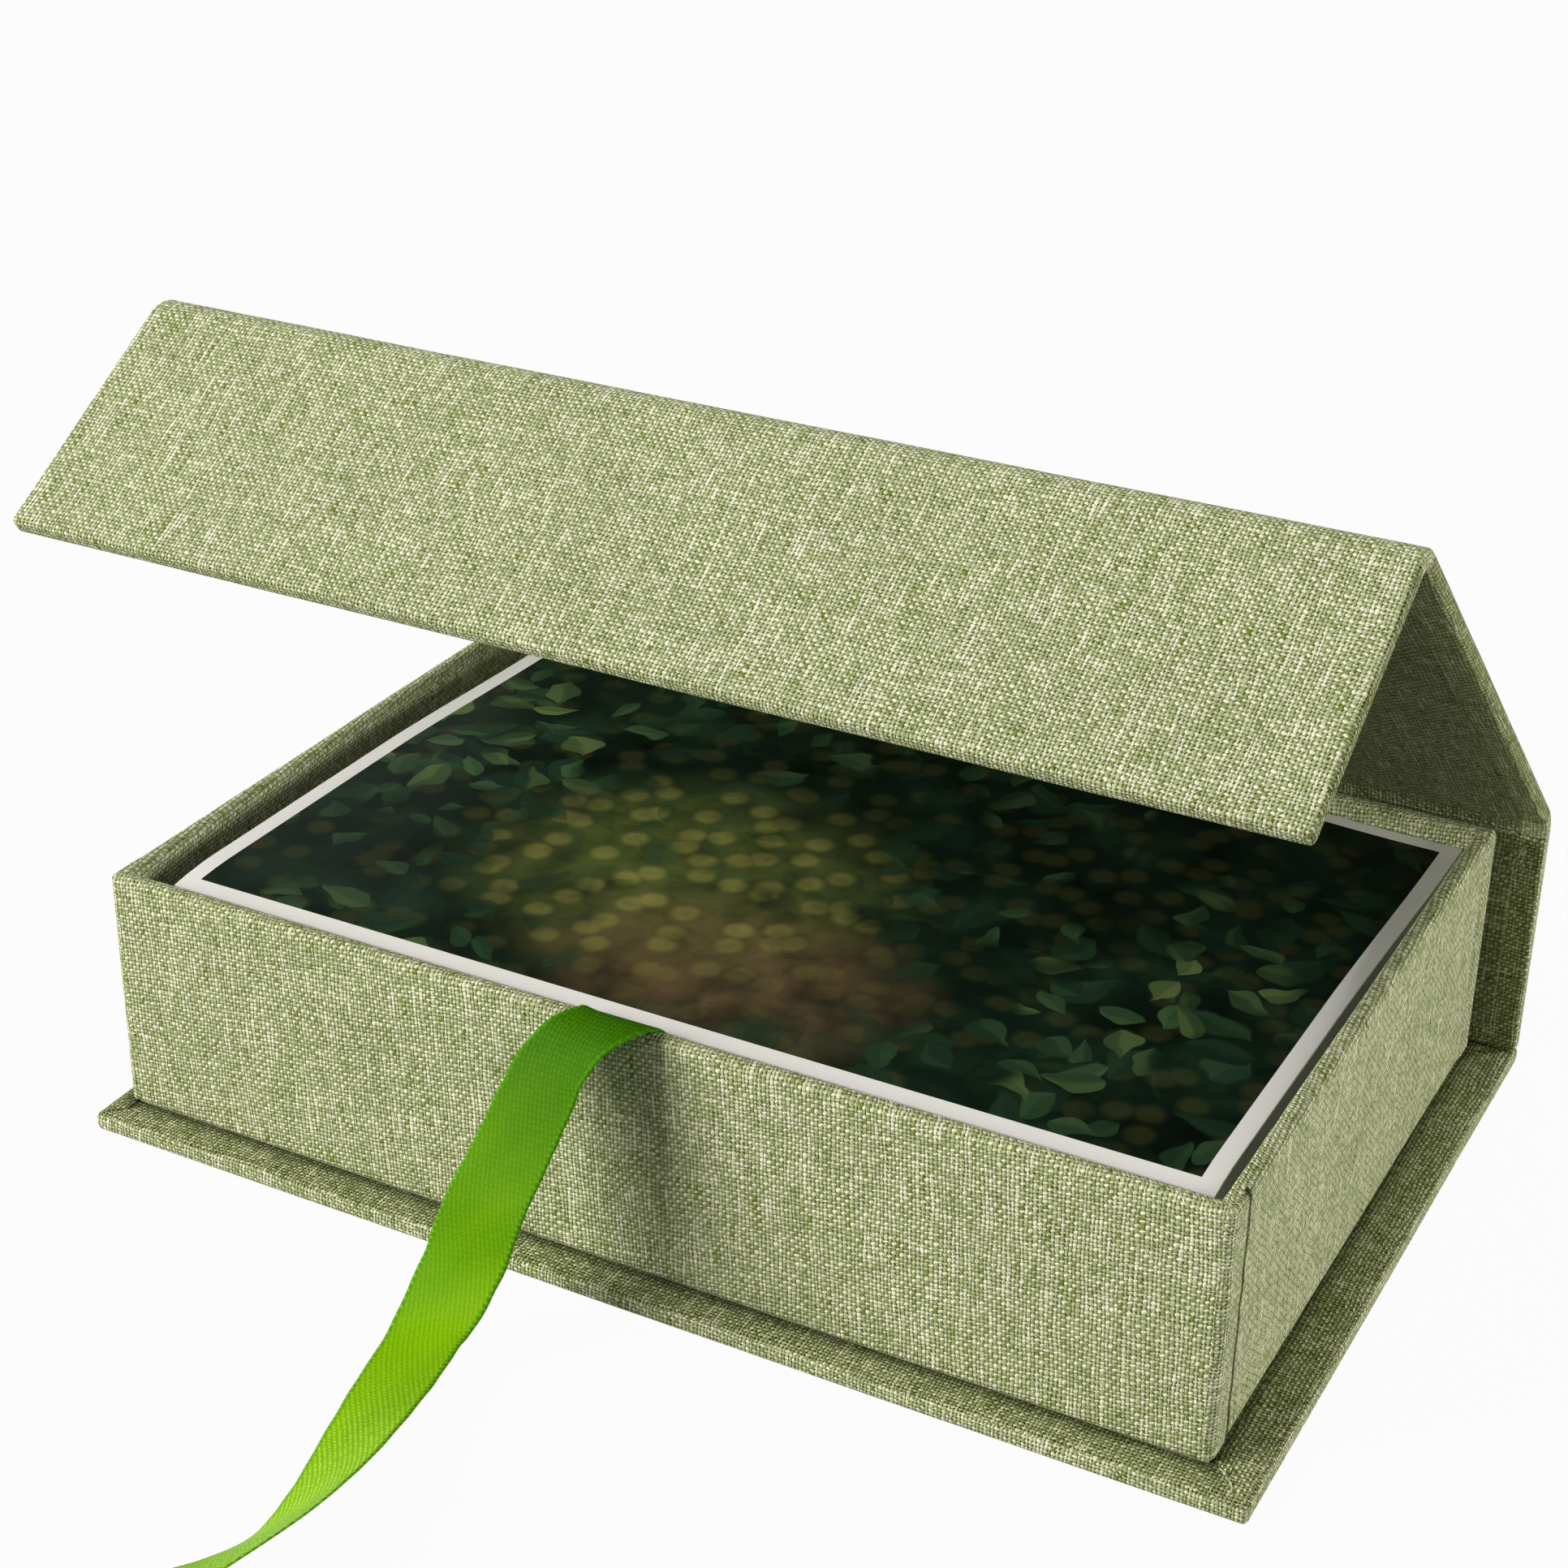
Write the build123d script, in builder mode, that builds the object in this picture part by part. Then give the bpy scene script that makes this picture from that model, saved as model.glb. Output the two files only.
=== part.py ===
from build123d import *
from math import cos, radians, sin, tan
import os

os.makedirs("parts", exist_ok=True)

# ---------------------------------------------------------------------------
# Photo storage box, book style: a cloth-covered tray on a base board, with a
# spine, a hinged lid and a hinged front flap that closes on magnets.
# +X runs right along the front, +Y to the back, +Z up; millimetres.
# The origin is the middle of the base's underside.
# The lid is modelled part open, with its flap hanging forward like a tent.
# ---------------------------------------------------------------------------

# --- the prints, which set the size of everything else ---------------------
PRINT_W, PRINT_D = 152.4, 101.6     # a 6 x 4 inch photographic print
PRINT_T = 0.3                       # one print on heavy paper
BUNDLES = 5                         # the stack below the top print

# --- sheet materials -------------------------------------------------------
BOARD_T = 2.0                       # greyboard
CLOTH_T = 0.35                      # linen book cloth
LINER_T = 0.3                       # lining sheet inside the lid
FLOOR_T = 1.5                       # tray floor card
SKIN_T = BOARD_T + 2 * CLOTH_T      # a board with cloth on both faces
COVER_T = SKIN_T + LINER_T          # the same with its lining sheet

# --- tray ------------------------------------------------------------------
GAP_LEFT, GAP_RIGHT = 5.3, 1.3      # room beside the prints
GAP_FRONT, GAP_BACK = 1.5, 0.5
TRAY_H = 36.8                       # wall height above the base
TRAY_W = PRINT_W + GAP_LEFT + GAP_RIGHT + 2 * SKIN_T
TRAY_D = PRINT_D + GAP_FRONT + GAP_BACK + 2 * SKIN_T
PRINT_DROP = 3.4                    # top print below the rim

# --- base and cover --------------------------------------------------------
LIP = 5.4                           # base beyond the tray's front
LIP_LEFT, LIP_RIGHT = 2.2, 6.8      # and beyond its sides, as it was glued on
SPINE_GAP = 0.3                     # glue line between tray and spine
BASE_W = LIP_LEFT + TRAY_W + LIP_RIGHT
BASE_D = LIP + TRAY_D + SPINE_GAP + COVER_T
TURN_IN = 14.0                      # cloth folded over to the inside
LINER_INSET = 4.0                   # lining sheet back from the free edges
JOINT_GAP = 2.3                     # board edge to hinge line
LID_SEAT = 0.3                      # closed lid above the rim
FLAP_SEAT = 0.6                     # closed flap in front of the tray wall
FLAP_LIFT = 0.3                     # closed flap above the base lip
EDGE_R, CORNER_R = 0.8, 0.9         # softened edges of covered boards

# --- how it stands at rest -------------------------------------------------
LID_ANGLE = 40.0                    # lid above level
FLAP_BEND = 72.0                    # flap bent down from the lid's plane

# --- magnets ---------------------------------------------------------------
MAGNET_D, MAGNET_T = 10.0, 1.0
MAGNET_X = 50.0                     # each side of the middle
MAGNET_Z = 14.0                     # above the table when closed

# --- ribbon ----------------------------------------------------------------
RIBBON_W, RIBBON_T = 12.0, 0.3
RIBBON_CLEAR = 0.05                 # stack above the ribbon
RIBBON_RUN = 83.3                   # its middle from the tray's left face
RIBBON_PULL = 20.0                  # its glued end behind the prints' middle

# --- places worked out from the sizes --------------------------------------
FRONT = -BASE_D / 2 + LIP           # tray's front face
BACK = FRONT + TRAY_D               # tray's back face
SPINE_OUT = BASE_D / 2              # spine's outer face
LEFT = -BASE_W / 2 + LIP_LEFT       # tray's left face
RIM = SKIN_T + TRAY_H               # top of the tray walls
FLOOR_TOP = SKIN_T + FLOOR_T + CLOTH_T
PRINT_TOP = RIM - PRINT_DROP
PRINT_X = LEFT + SKIN_T + GAP_LEFT + PRINT_W / 2
PRINT_Y = FRONT + SKIN_T + GAP_FRONT + PRINT_D / 2
HINGE_Z = RIM + LID_SEAT + COVER_T / 2
HINGE_Y = SPINE_OUT - COVER_T / 2
LID_L = HINGE_Y - (FRONT - FLAP_SEAT - COVER_T / 2)     # hinge to flap hinge
FLAP_L = HINGE_Z - SKIN_T - FLAP_LIFT                   # flap hinge to edge


def leaf_plane(origin, angle):
    """Plane of a cover board through its hinge line: local +Y runs along the
    board, at this angle above the forward direction, and +Z faces outward."""
    a = radians(angle)
    return Plane(origin=origin, x_dir=(-1, 0, 0), z_dir=(0, sin(a), cos(a)))


HINGE = Vector(0, HINGE_Y, HINGE_Z)
lid_plane = leaf_plane(HINGE, LID_ANGLE)
FOLD = lid_plane.from_local_coords(Vector(0, LID_L, 0))
flap_plane = leaf_plane(FOLD, LID_ANGLE - FLAP_BEND)
spine_plane = leaf_plane(HINGE, 90)
base_plane = Plane(origin=(0, 0, 0), x_dir=(1, 0, 0), z_dir=(0, 0, -1))


def save(builder, name):
    """Name a finished piece and write it out."""
    builder.part.label = name
    export_step(builder.part, f"parts/{name}.step")


def sheet(plane, width, low, high, thickness, depth=0.0, mode=Mode.ADD):
    """A flat sheet in the builder in hand: width about the middle, from low
    to high along local Y, its outer face depth below the plane."""
    with BuildSketch(plane.offset(-depth - thickness)) as outline:
        with Locations((0, (low + high) / 2)):
            Rectangle(width, high - low)
    extrude(outline.sketch, amount=thickness, mode=mode)


def cover_board(name, plane, low, high, free_low, free_high):
    """One covered board: the board, its cloth wrapped round the free edges
    and turned in, and nothing at an edge that a hinge continues."""
    def is_free(edge):
        y = plane.to_local_coords(edge.center()).Y
        return (free_low or y > low + 0.01) and (free_high or y < high - 0.01)

    with BuildPart() as board:
        sheet(plane, BASE_W - 2 * CLOTH_T, low + CLOTH_T * free_low,
              high - CLOTH_T * free_high, BOARD_T, CLOTH_T)
    with BuildPart() as cloth:
        sheet(plane, BASE_W, low, high, SKIN_T)
        thick_way = Axis(plane.origin, plane.z_dir)
        if free_low or free_high:
            fillet(cloth.edges().filter_by(thick_way).filter_by(is_free),
                   radius=CORNER_R)
        fillet(cloth.edges().filter_by(thick_way, reverse=True)
               .filter_by(is_free), radius=EDGE_R)
        add(board.part, mode=Mode.SUBTRACT)
        sheet(plane, BASE_W - 2 * TURN_IN, low + TURN_IN, high - TURN_IN,
              CLOTH_T, SKIN_T - CLOTH_T, mode=Mode.SUBTRACT)
    save(cloth, f"{name}_cloth")
    return board


def lining(name, plane, low, high, free_low, free_high):
    """Lining sheet with the thin card below it that levels the turn-ins."""
    with BuildPart() as liner:
        sheet(plane, BASE_W - 2 * LINER_INSET, low + LINER_INSET * free_low,
              high - LINER_INSET * free_high, LINER_T, SKIN_T)
        fit = TURN_IN + 0.2
        sheet(plane, BASE_W - 2 * fit, low + fit, high - fit,
              CLOTH_T, SKIN_T - CLOTH_T)
    save(liner, f"{name}_liner")


def joint_strip(name, origin, start, turn, side, thickness, width):
    """Strip of cloth bent across a joint. start is the direction, in degrees
    in the side view, of the board it leaves; side is +1 outside, -1 inside."""
    reach = side * (COVER_T / 2 - thickness / 2)
    tangent = JOINT_GAP + reach * tan(radians(turn / 2))
    along = Vector(cos(radians(start)), sin(radians(start)))
    across = Vector(along.Y, -along.X)
    begin = Vector(origin.Y, origin.Z) - along * JOINT_GAP + across * reach
    with BuildPart() as strip:
        with BuildSketch(Plane.YZ.offset(-width / 2)) as section:
            with BuildLine() as bend:
                JernArc(begin, along, tangent / tan(radians(turn / 2)), turn)
            trace(bend.line, line_width=thickness)
        extrude(section.sketch, amount=width)
    save(strip, name)


# --- base ------------------------------------------------------------------
base_board = cover_board("base", base_plane, -BASE_D / 2, BASE_D / 2, 1, 1)
save(base_board, "base_board")

with BuildPart() as base_infill:
    with Locations((0, 0, SKIN_T - CLOTH_T)):
        Box(BASE_W - 2 * TURN_IN, BASE_D - 2 * TURN_IN, CLOTH_T,
            align=(Align.CENTER, Align.CENTER, Align.MIN))
save(base_infill, "base_infill")

# --- tray: four wall boards, cloth over both faces and the rim -------------
MID_X, MID_Y = LEFT + TRAY_W / 2, (FRONT + BACK) / 2
ON_BASE = (Align.CENTER, Align.CENTER, Align.MIN)
WALL_H = TRAY_H - CLOTH_T
BOARD_RUN = TRAY_W - 2 * CLOTH_T
SIDE_RUN = TRAY_D - 2 * CLOTH_T - 2 * BOARD_T
FRONT_BOARD_Y = FRONT + CLOTH_T + BOARD_T / 2
BACK_BOARD_Y = BACK - CLOTH_T - BOARD_T / 2
SIDE_BOARD_X = TRAY_W / 2 - CLOTH_T - BOARD_T / 2

with BuildPart() as tray_front_wall:
    with Locations((MID_X, FRONT_BOARD_Y, SKIN_T)):
        Box(BOARD_RUN, BOARD_T, WALL_H, align=ON_BASE)
    with BuildSketch(Plane.XZ.offset(-FRONT - CLOTH_T)):
        with Locations((-MAGNET_X, MAGNET_Z), (MAGNET_X, MAGNET_Z)):
            Circle(MAGNET_D / 2)
    extrude(amount=-MAGNET_T, mode=Mode.SUBTRACT)
save(tray_front_wall, "tray_front_wall")

with BuildPart() as tray_back_wall:
    with Locations((MID_X, BACK_BOARD_Y, SKIN_T)):
        Box(BOARD_RUN, BOARD_T, WALL_H, align=ON_BASE)
save(tray_back_wall, "tray_back_wall")

for side, sign in (("left", -1), ("right", 1)):
    with BuildPart() as side_wall:
        with Locations((MID_X + sign * SIDE_BOARD_X, MID_Y, SKIN_T)):
            Box(BOARD_T, SIDE_RUN, WALL_H, align=ON_BASE)
    save(side_wall, f"tray_{side}_wall")

    with BuildPart() as wall_plate:
        with BuildSketch(Plane.XZ.offset(-FRONT - CLOTH_T)):
            with Locations((sign * MAGNET_X, MAGNET_Z)):
                Circle(MAGNET_D / 2)
        extrude(amount=-MAGNET_T)
    save(wall_plate, f"wall_plate_{side}")

with BuildPart() as tray_cloth:
    with Locations((MID_X, MID_Y, SKIN_T)):
        Box(TRAY_W, TRAY_D, TRAY_H, align=ON_BASE)
        Box(TRAY_W - 2 * SKIN_T, TRAY_D - 2 * SKIN_T, TRAY_H, align=ON_BASE,
            mode=Mode.SUBTRACT)
    upright = tray_cloth.edges().filter_by(Axis.Z).sort_by(Axis.X)
    fillet(upright[:2] + upright[-2:], radius=CORNER_R)
    fillet(tray_cloth.faces().sort_by(Axis.Z)[-1].edges(), radius=EDGE_R)
    with BuildSketch(Plane.XY.offset(SKIN_T)):
        with Locations((MID_X, MID_Y)):
            Rectangle(BOARD_RUN, TRAY_D - 2 * CLOTH_T)
            Rectangle(BOARD_RUN - 2 * BOARD_T, SIDE_RUN, mode=Mode.SUBTRACT)
    extrude(amount=WALL_H, mode=Mode.SUBTRACT)
save(tray_cloth, "tray_cloth")

FLOOR_W, FLOOR_D = TRAY_W - 2 * SKIN_T - 0.2, TRAY_D - 2 * SKIN_T - 0.2
with BuildPart() as tray_floor:
    with Locations((MID_X, MID_Y, SKIN_T)):
        Box(FLOOR_W, FLOOR_D, FLOOR_T, align=ON_BASE)
save(tray_floor, "tray_floor")

with BuildPart() as floor_lining:
    with Locations((MID_X, MID_Y, SKIN_T + FLOOR_T)):
        Box(FLOOR_W, FLOOR_D, CLOTH_T, align=ON_BASE)
save(floor_lining, "floor_lining")

# --- spine, standing on the base behind the tray ---------------------------
spine_face = spine_plane.offset(COVER_T / 2)
SPINE_LOW, SPINE_HIGH = SKIN_T - HINGE_Z, -JOINT_GAP
spine_board = cover_board("spine", spine_face, SPINE_LOW, SPINE_HIGH, 1, 0)
save(spine_board, "spine_board")
lining("spine", spine_face, SPINE_LOW, SPINE_HIGH, 0, 0)

# --- lid -------------------------------------------------------------------
lid_face = lid_plane.offset(COVER_T / 2)
LID_LOW, LID_HIGH = JOINT_GAP, LID_L - JOINT_GAP
lid_board = cover_board("lid", lid_face, LID_LOW, LID_HIGH, 0, 0)
save(lid_board, "lid_board")
lining("lid", lid_face, LID_LOW, LID_HIGH, 0, 0)

# --- flap, with its magnets let into the inner side of its board -----------
flap_face = flap_plane.offset(COVER_T / 2)
plain_board = cover_board("flap", flap_face, JOINT_GAP, FLAP_L, 0, 1)
MAGNET_SEAT = flap_face.offset(-CLOTH_T - BOARD_T)
MAGNET_RUN = HINGE_Z - MAGNET_Z
with BuildPart() as flap_board:
    add(plain_board.part)
    with BuildSketch(MAGNET_SEAT):
        with Locations((-MAGNET_X, MAGNET_RUN), (MAGNET_X, MAGNET_RUN)):
            Circle(MAGNET_D / 2)
    extrude(amount=MAGNET_T, mode=Mode.SUBTRACT)
save(flap_board, "flap_board")
lining("flap", flap_face, JOINT_GAP, FLAP_L, 0, 1)
for side, sign in (("left", 1), ("right", -1)):
    with BuildPart() as flap_magnet:
        with BuildSketch(MAGNET_SEAT):
            with Locations((sign * MAGNET_X, MAGNET_RUN)):
                Circle(MAGNET_D / 2)
        extrude(amount=MAGNET_T)
    save(flap_magnet, f"flap_magnet_{side}")

# --- cloth and lining across the two joints --------------------------------
INNER_W = BASE_W - 2 * LINER_INSET
LID_DIRECTION = 180 - LID_ANGLE
for name, origin, start, turn in (
        ("lid", HINGE, 90, 90 - LID_ANGLE),
        ("flap", FOLD, LID_DIRECTION, FLAP_BEND)):
    joint_strip(f"{name}_hinge_cloth", origin, start, turn, 1, CLOTH_T, BASE_W)
    joint_strip(f"{name}_hinge_lining", origin, start, turn, -1, LINER_T, INNER_W)

# --- ribbon: glued to the floor, under the stack, up and over the front ----
RIBBON_X = LEFT + RIBBON_RUN
INSIDE_Y = FRONT + SKIN_T + 0.7
FLAT_Z = FLOOR_TOP + RIBBON_T / 2
ON_TABLE = RIBBON_T / 2 + 0.05
FALL = [                            # left of its middle, out, below the rim
    (5.0, 3.8, -0.9),
    (8.5, 9.0, 9.0),
    (12.3, 15.1, 22.0),
]
TAIL = [                            # left of its middle, out, on the table
    (15.6, 22.5),
    (12.2, 43.0),
    (9.0, 62.0),
    (12.0, 74.0),
    (23.4, 87.0),
    (31.0, 92.5),
]
route = [
    (RIBBON_X, PRINT_Y + RIBBON_PULL, FLAT_Z),
    (RIBBON_X, INSIDE_Y, FLAT_Z),
    (RIBBON_X, INSIDE_Y, RIM + 1.9),
    *[(RIBBON_X - left, FRONT - out, RIM - down) for left, out, down in FALL],
    *[(RIBBON_X - left, FRONT - out, ON_TABLE) for left, out in TAIL],
]
BENDS = [0.9, 1.5, 5.0, 20.0, 20.0, 6.0, 60.0, 20.0, 16.0, 16.0]
with BuildLine() as ribbon_line:
    FilletPolyline(*route, radius=BENDS)


def ribbon_section(edge, t):
    """Plane across the ribbon at this place, its width kept level."""
    along = edge % t
    level = Vector(abs(along.Z) - along.Y, along.X, 0).normalized()
    across = (level - along * level.dot(along)).normalized()
    return Plane(origin=edge @ t, x_dir=across, z_dir=along)


with BuildPart() as ribbon:
    edges = ribbon_line.wire().order_edges()
    sections = [ribbon_section(edges[0], 0)]
    for edge in edges:
        steps = 4 if edge.geom_type == GeomType.CIRCLE else 1
        sections += [ribbon_section(edge, (i + 1) / steps) for i in range(steps)]
    for section in sections:
        with BuildSketch(section):
            Rectangle(RIBBON_W, RIBBON_T)
    loft(ruled=True)
save(ribbon, "ribbon")

# --- the prints, in bundles as they were laid in, and the top one ----------
STACK_LOW = FLOOR_TOP + RIBBON_T + RIBBON_CLEAR
BUNDLE_H = (PRINT_TOP - PRINT_T - STACK_LOW) / BUNDLES
for i in range(BUNDLES):
    shift_x, shift_y = 0.25 + 0.25 * sin(2.3 * i), 0.2 * sin(1.7 * i)
    with BuildPart() as bundle:
        with Locations((PRINT_X + shift_x, PRINT_Y + shift_y,
                        STACK_LOW + i * BUNDLE_H)):
            Box(PRINT_W, PRINT_D, BUNDLE_H, align=ON_BASE)
    save(bundle, f"print_bundle_{i + 1}")

with BuildPart() as top_print:
    with Locations((PRINT_X, PRINT_Y, PRINT_TOP - PRINT_T)):
        Box(PRINT_W, PRINT_D, PRINT_T, align=ON_BASE)
save(top_print, "top_print")
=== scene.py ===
"""Linen photo box, standing part open with its ribbon over the front wall.

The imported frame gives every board, magnet and print its place. This script
dresses them: linen covers wrapped round each board, the cloth across the two
joints, the linings, the satin ribbon and the stack of prints. Lengths in the
classes are millimetres in the part's frame; meshes are made in metres.
"""
import logging
import math
import random
from dataclasses import dataclass
from enum import Enum
from typing import Callable

import bmesh
import bpy
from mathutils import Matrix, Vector, noise

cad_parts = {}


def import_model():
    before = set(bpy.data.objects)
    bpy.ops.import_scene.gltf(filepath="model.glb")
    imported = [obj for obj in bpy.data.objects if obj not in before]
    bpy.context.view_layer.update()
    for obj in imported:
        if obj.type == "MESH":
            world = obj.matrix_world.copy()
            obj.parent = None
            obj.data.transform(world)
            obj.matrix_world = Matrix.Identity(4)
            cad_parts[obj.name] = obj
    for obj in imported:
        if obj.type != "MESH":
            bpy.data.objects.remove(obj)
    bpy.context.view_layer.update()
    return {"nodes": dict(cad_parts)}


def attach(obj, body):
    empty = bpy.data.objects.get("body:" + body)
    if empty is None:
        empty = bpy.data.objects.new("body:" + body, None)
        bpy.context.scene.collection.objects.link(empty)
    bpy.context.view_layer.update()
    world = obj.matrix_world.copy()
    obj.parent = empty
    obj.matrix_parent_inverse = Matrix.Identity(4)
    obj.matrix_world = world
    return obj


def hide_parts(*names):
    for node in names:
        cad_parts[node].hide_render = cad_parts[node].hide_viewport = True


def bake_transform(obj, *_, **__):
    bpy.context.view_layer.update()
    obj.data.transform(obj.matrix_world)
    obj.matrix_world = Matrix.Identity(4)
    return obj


MM = 0.001
TURN = 2 * math.pi
HALF_COVER = 1.5
HAND_WAVER = 0.05
WAVER_SEED = 5
LOG = logging.getLogger("photo_box")

Colour = tuple[float, float, float, float]
Place = tuple[float, float]


class Body(Enum):
    """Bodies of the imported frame."""

    BOX = "box"
    LID = "lid"
    FLAP = "flap"


class Slot(Enum):
    """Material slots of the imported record."""

    LINEN = "linen_cloth"
    LINING = "lining_cloth"
    BOARD = "greyboard"
    CARD = "infill_card"
    PAPER = "print_paper"
    PICTURE = "picture_paper"
    MAGNET = "magnet_nickel"
    STEEL = "plate_steel"
    SATIN = "satin_ribbon"


def rgb(code: str) -> Colour:
    """Turn a hex colour into the linear values that a socket takes.

    Args:
        code: Six hex digits, as a screen shows the colour.

    Returns:
        Linear red, green, blue and a full alpha.
    """
    parts = [int(code[i:i + 2], 16) / 255 for i in (0, 2, 4)]
    red, green, blue = (c / 12.92 if c <= 0.04045 else ((c + 0.055) / 1.055) ** 2.4 for c in parts)
    return red, green, blue, 1.0


# Sizes shared by every sub-assembly

@dataclass(frozen=True)
class BoxSizes:
    """Sizes of the box that several sub-assemblies share, in mm."""

    width: float = 173.4
    depth: float = 117.7
    tray_width: float = 164.4
    tray_depth: float = 109.0
    lip: float = 5.4
    lip_left: float = 2.2
    skin: float = 2.7
    cover: float = 3.0
    cloth: float = 0.35
    lining: float = 0.3
    lining_inset: float = 4.0
    rim: float = 39.5
    floor_top: float = 4.55
    print_top: float = 36.1
    joint_gap: float = 2.3
    lid_angle: float = 40.0
    fold_turn: float = 72.0
    edge_radius: float = 0.8

    @property
    def front(self) -> float:
        """Front face of the tray."""
        return -self.depth / 2 + self.lip

    @property
    def left(self) -> float:
        """Left face of the tray."""
        return -self.width / 2 + self.lip_left

    @property
    def tray_middle(self) -> Vector:
        """Middle of the tray, at the table's height."""
        return Vector((self.left + self.tray_width / 2, self.front + self.tray_depth / 2, 0.0))

    @property
    def hinge(self) -> Vector:
        """Pivot between spine and lid."""
        return Vector((0.0, self.depth / 2 - self.cover / 2, self.rim + 0.3 + self.cover / 2))

    @property
    def lid_length(self) -> float:
        """From the lid's pivot to the flap's."""
        return self.hinge.y - (self.front - 0.6 - self.cover / 2)

    @property
    def flap_length(self) -> float:
        """From the flap's pivot to its free edge."""
        return self.hinge.z - self.skin - 0.3


@dataclass(frozen=True)
class Leaf:
    """A cover board's own axes: across, along the board and out of it."""

    origin: Vector
    angle: float

    @property
    def along(self) -> Vector:
        """Direction from this board's pivot to its far edge."""
        a = math.radians(self.angle)
        return Vector((0.0, -math.cos(a), math.sin(a)))

    @property
    def outward(self) -> Vector:
        """Direction out of the board's outer face."""
        a = math.radians(self.angle)
        return Vector((0.0, math.sin(a), math.cos(a)))

    def at(self, x: float, run: float, depth: float) -> Vector:
        """Point x across, run along the board, depth below its outer face."""
        return (self.origin + Vector((x, 0.0, 0.0)) + self.along * run
                + self.outward * (HALF_COVER - depth))


# Meshes

def unevenness(point: Vector, amount: float) -> Vector:
    """Slight waver of hand-covered work, the same for pieces that touch.

    Args:
        point: Place in mm.
        amount: Largest shift in mm.

    Returns:
        The shift in mm.
    """
    slow = noise.noise_vector(point * 0.045) * amount
    quick = noise.noise_vector(point * 0.33) * amount * 0.35
    return slow + quick


class Draft:
    """Faces of one piece as they are drawn, each corner with its cloth place.

    A cloth place is where the corner lies on the flat cloth, in mm: first
    across the streaky threads, then along them.
    """

    def __init__(self) -> None:
        """Start with no faces."""
        self.points: list[Vector] = []
        self.faces: list[tuple[int, ...]] = []
        self.places: list[tuple[Place, ...]] = []

    def patch(self, rows: list[list[Vector]], places: list[list[Place]]) -> None:
        """Add quads between neighbouring rows of points.

        Args:
            rows: Points, row by row.
            places: Their cloth places, in the same order.
        """
        first, wide = len(self.points), len(rows[0])
        for row in rows:
            self.points.extend(row)
        for i in range(len(rows) - 1):
            for j in range(wide - 1):
                corner = ((i, j), (i, j + 1), (i + 1, j + 1), (i + 1, j))
                self.faces.append(tuple(first + a * wide + b for a, b in corner))
                self.places.append(tuple(places[a][b] for a, b in corner))

    def build(self, name: str, waver: float = 0.0, weld: bool = True) -> bpy.types.Object:
        """Make the object, its faces turned outward.

        Args:
            name: The piece's name.
            waver: How far hand work strays from the true line, in mm.
            weld: Whether patches that meet are joined.

        Returns:
            The new object, linked to the scene.
        """
        mesh = bpy.data.meshes.new(name)
        shifted = [p + unevenness(p, waver) if waver else p for p in self.points]
        mesh.from_pydata([tuple(p * MM) for p in shifted], [], self.faces)
        layer = mesh.uv_layers.new(name="cloth_place")
        flat = [value for face in self.places for place in face for value in place]
        layer.data.foreach_set("uv", flat)
        work = bmesh.new()
        work.from_mesh(mesh)
        if weld:
            bmesh.ops.remove_doubles(work, verts=work.verts, dist=2e-6)
            bmesh.ops.dissolve_degenerate(work, edges=work.edges, dist=1e-7)
        bmesh.ops.recalc_face_normals(work, faces=work.faces)
        for face in work.faces:
            face.smooth = True
        work.to_mesh(mesh)
        work.free()
        return linked(name, mesh)


def linked(name: str, data: bpy.types.ID) -> bpy.types.Object:
    """A new object of this mesh, lamp or camera in the scene.

    Args:
        name: Its name.
        data: What it shows.

    Returns:
        The object.
    """
    made = bpy.data.objects.new(name, data)
    bpy.context.scene.collection.objects.link(made)
    return made


def spread(low: float, high: float, step: float) -> list[float]:
    """Even stops from low to high, about step apart."""
    count = max(1, round((high - low) / step))
    return [low + (high - low) * i / count for i in range(count + 1)]


def smoothstep(value: float, low: float, high: float) -> float:
    """Soft step from 0 at low to 1 at high."""
    t = min(1.0, max(0.0, (value - low) / (high - low)))
    return t * t * (3.0 - 2.0 * t)


def rounded_stops(low: float, high: float, radius: float, step: float,
                  round_low: bool = True, round_high: bool = True, turns: int = 5) -> list[float]:
    """Stops along one side of a rounded block, close together at its ends.

    Args:
        low: Lower end.
        high: Upper end.
        radius: Radius of the rounded edges.
        step: Distance between stops on the flat.
        round_low: Whether the lower end is rounded.
        round_high: Whether the upper end is rounded.
        turns: Stops on each half of a rounded edge.

    Returns:
        The stops, spaced so that a rounded edge turns evenly.
    """
    bends = [radius * math.tan(math.radians(45.0 * i / turns)) for i in range(turns + 1)]
    inner_low = low + radius if round_low else low
    inner_high = high - radius if round_high else high
    stops = [inner_low - b for b in reversed(bends)] if round_low else [low]
    stops += spread(inner_low, inner_high, step)[1:-1]
    stops += [inner_high + b for b in bends] if round_high else [high]
    return stops


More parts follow.
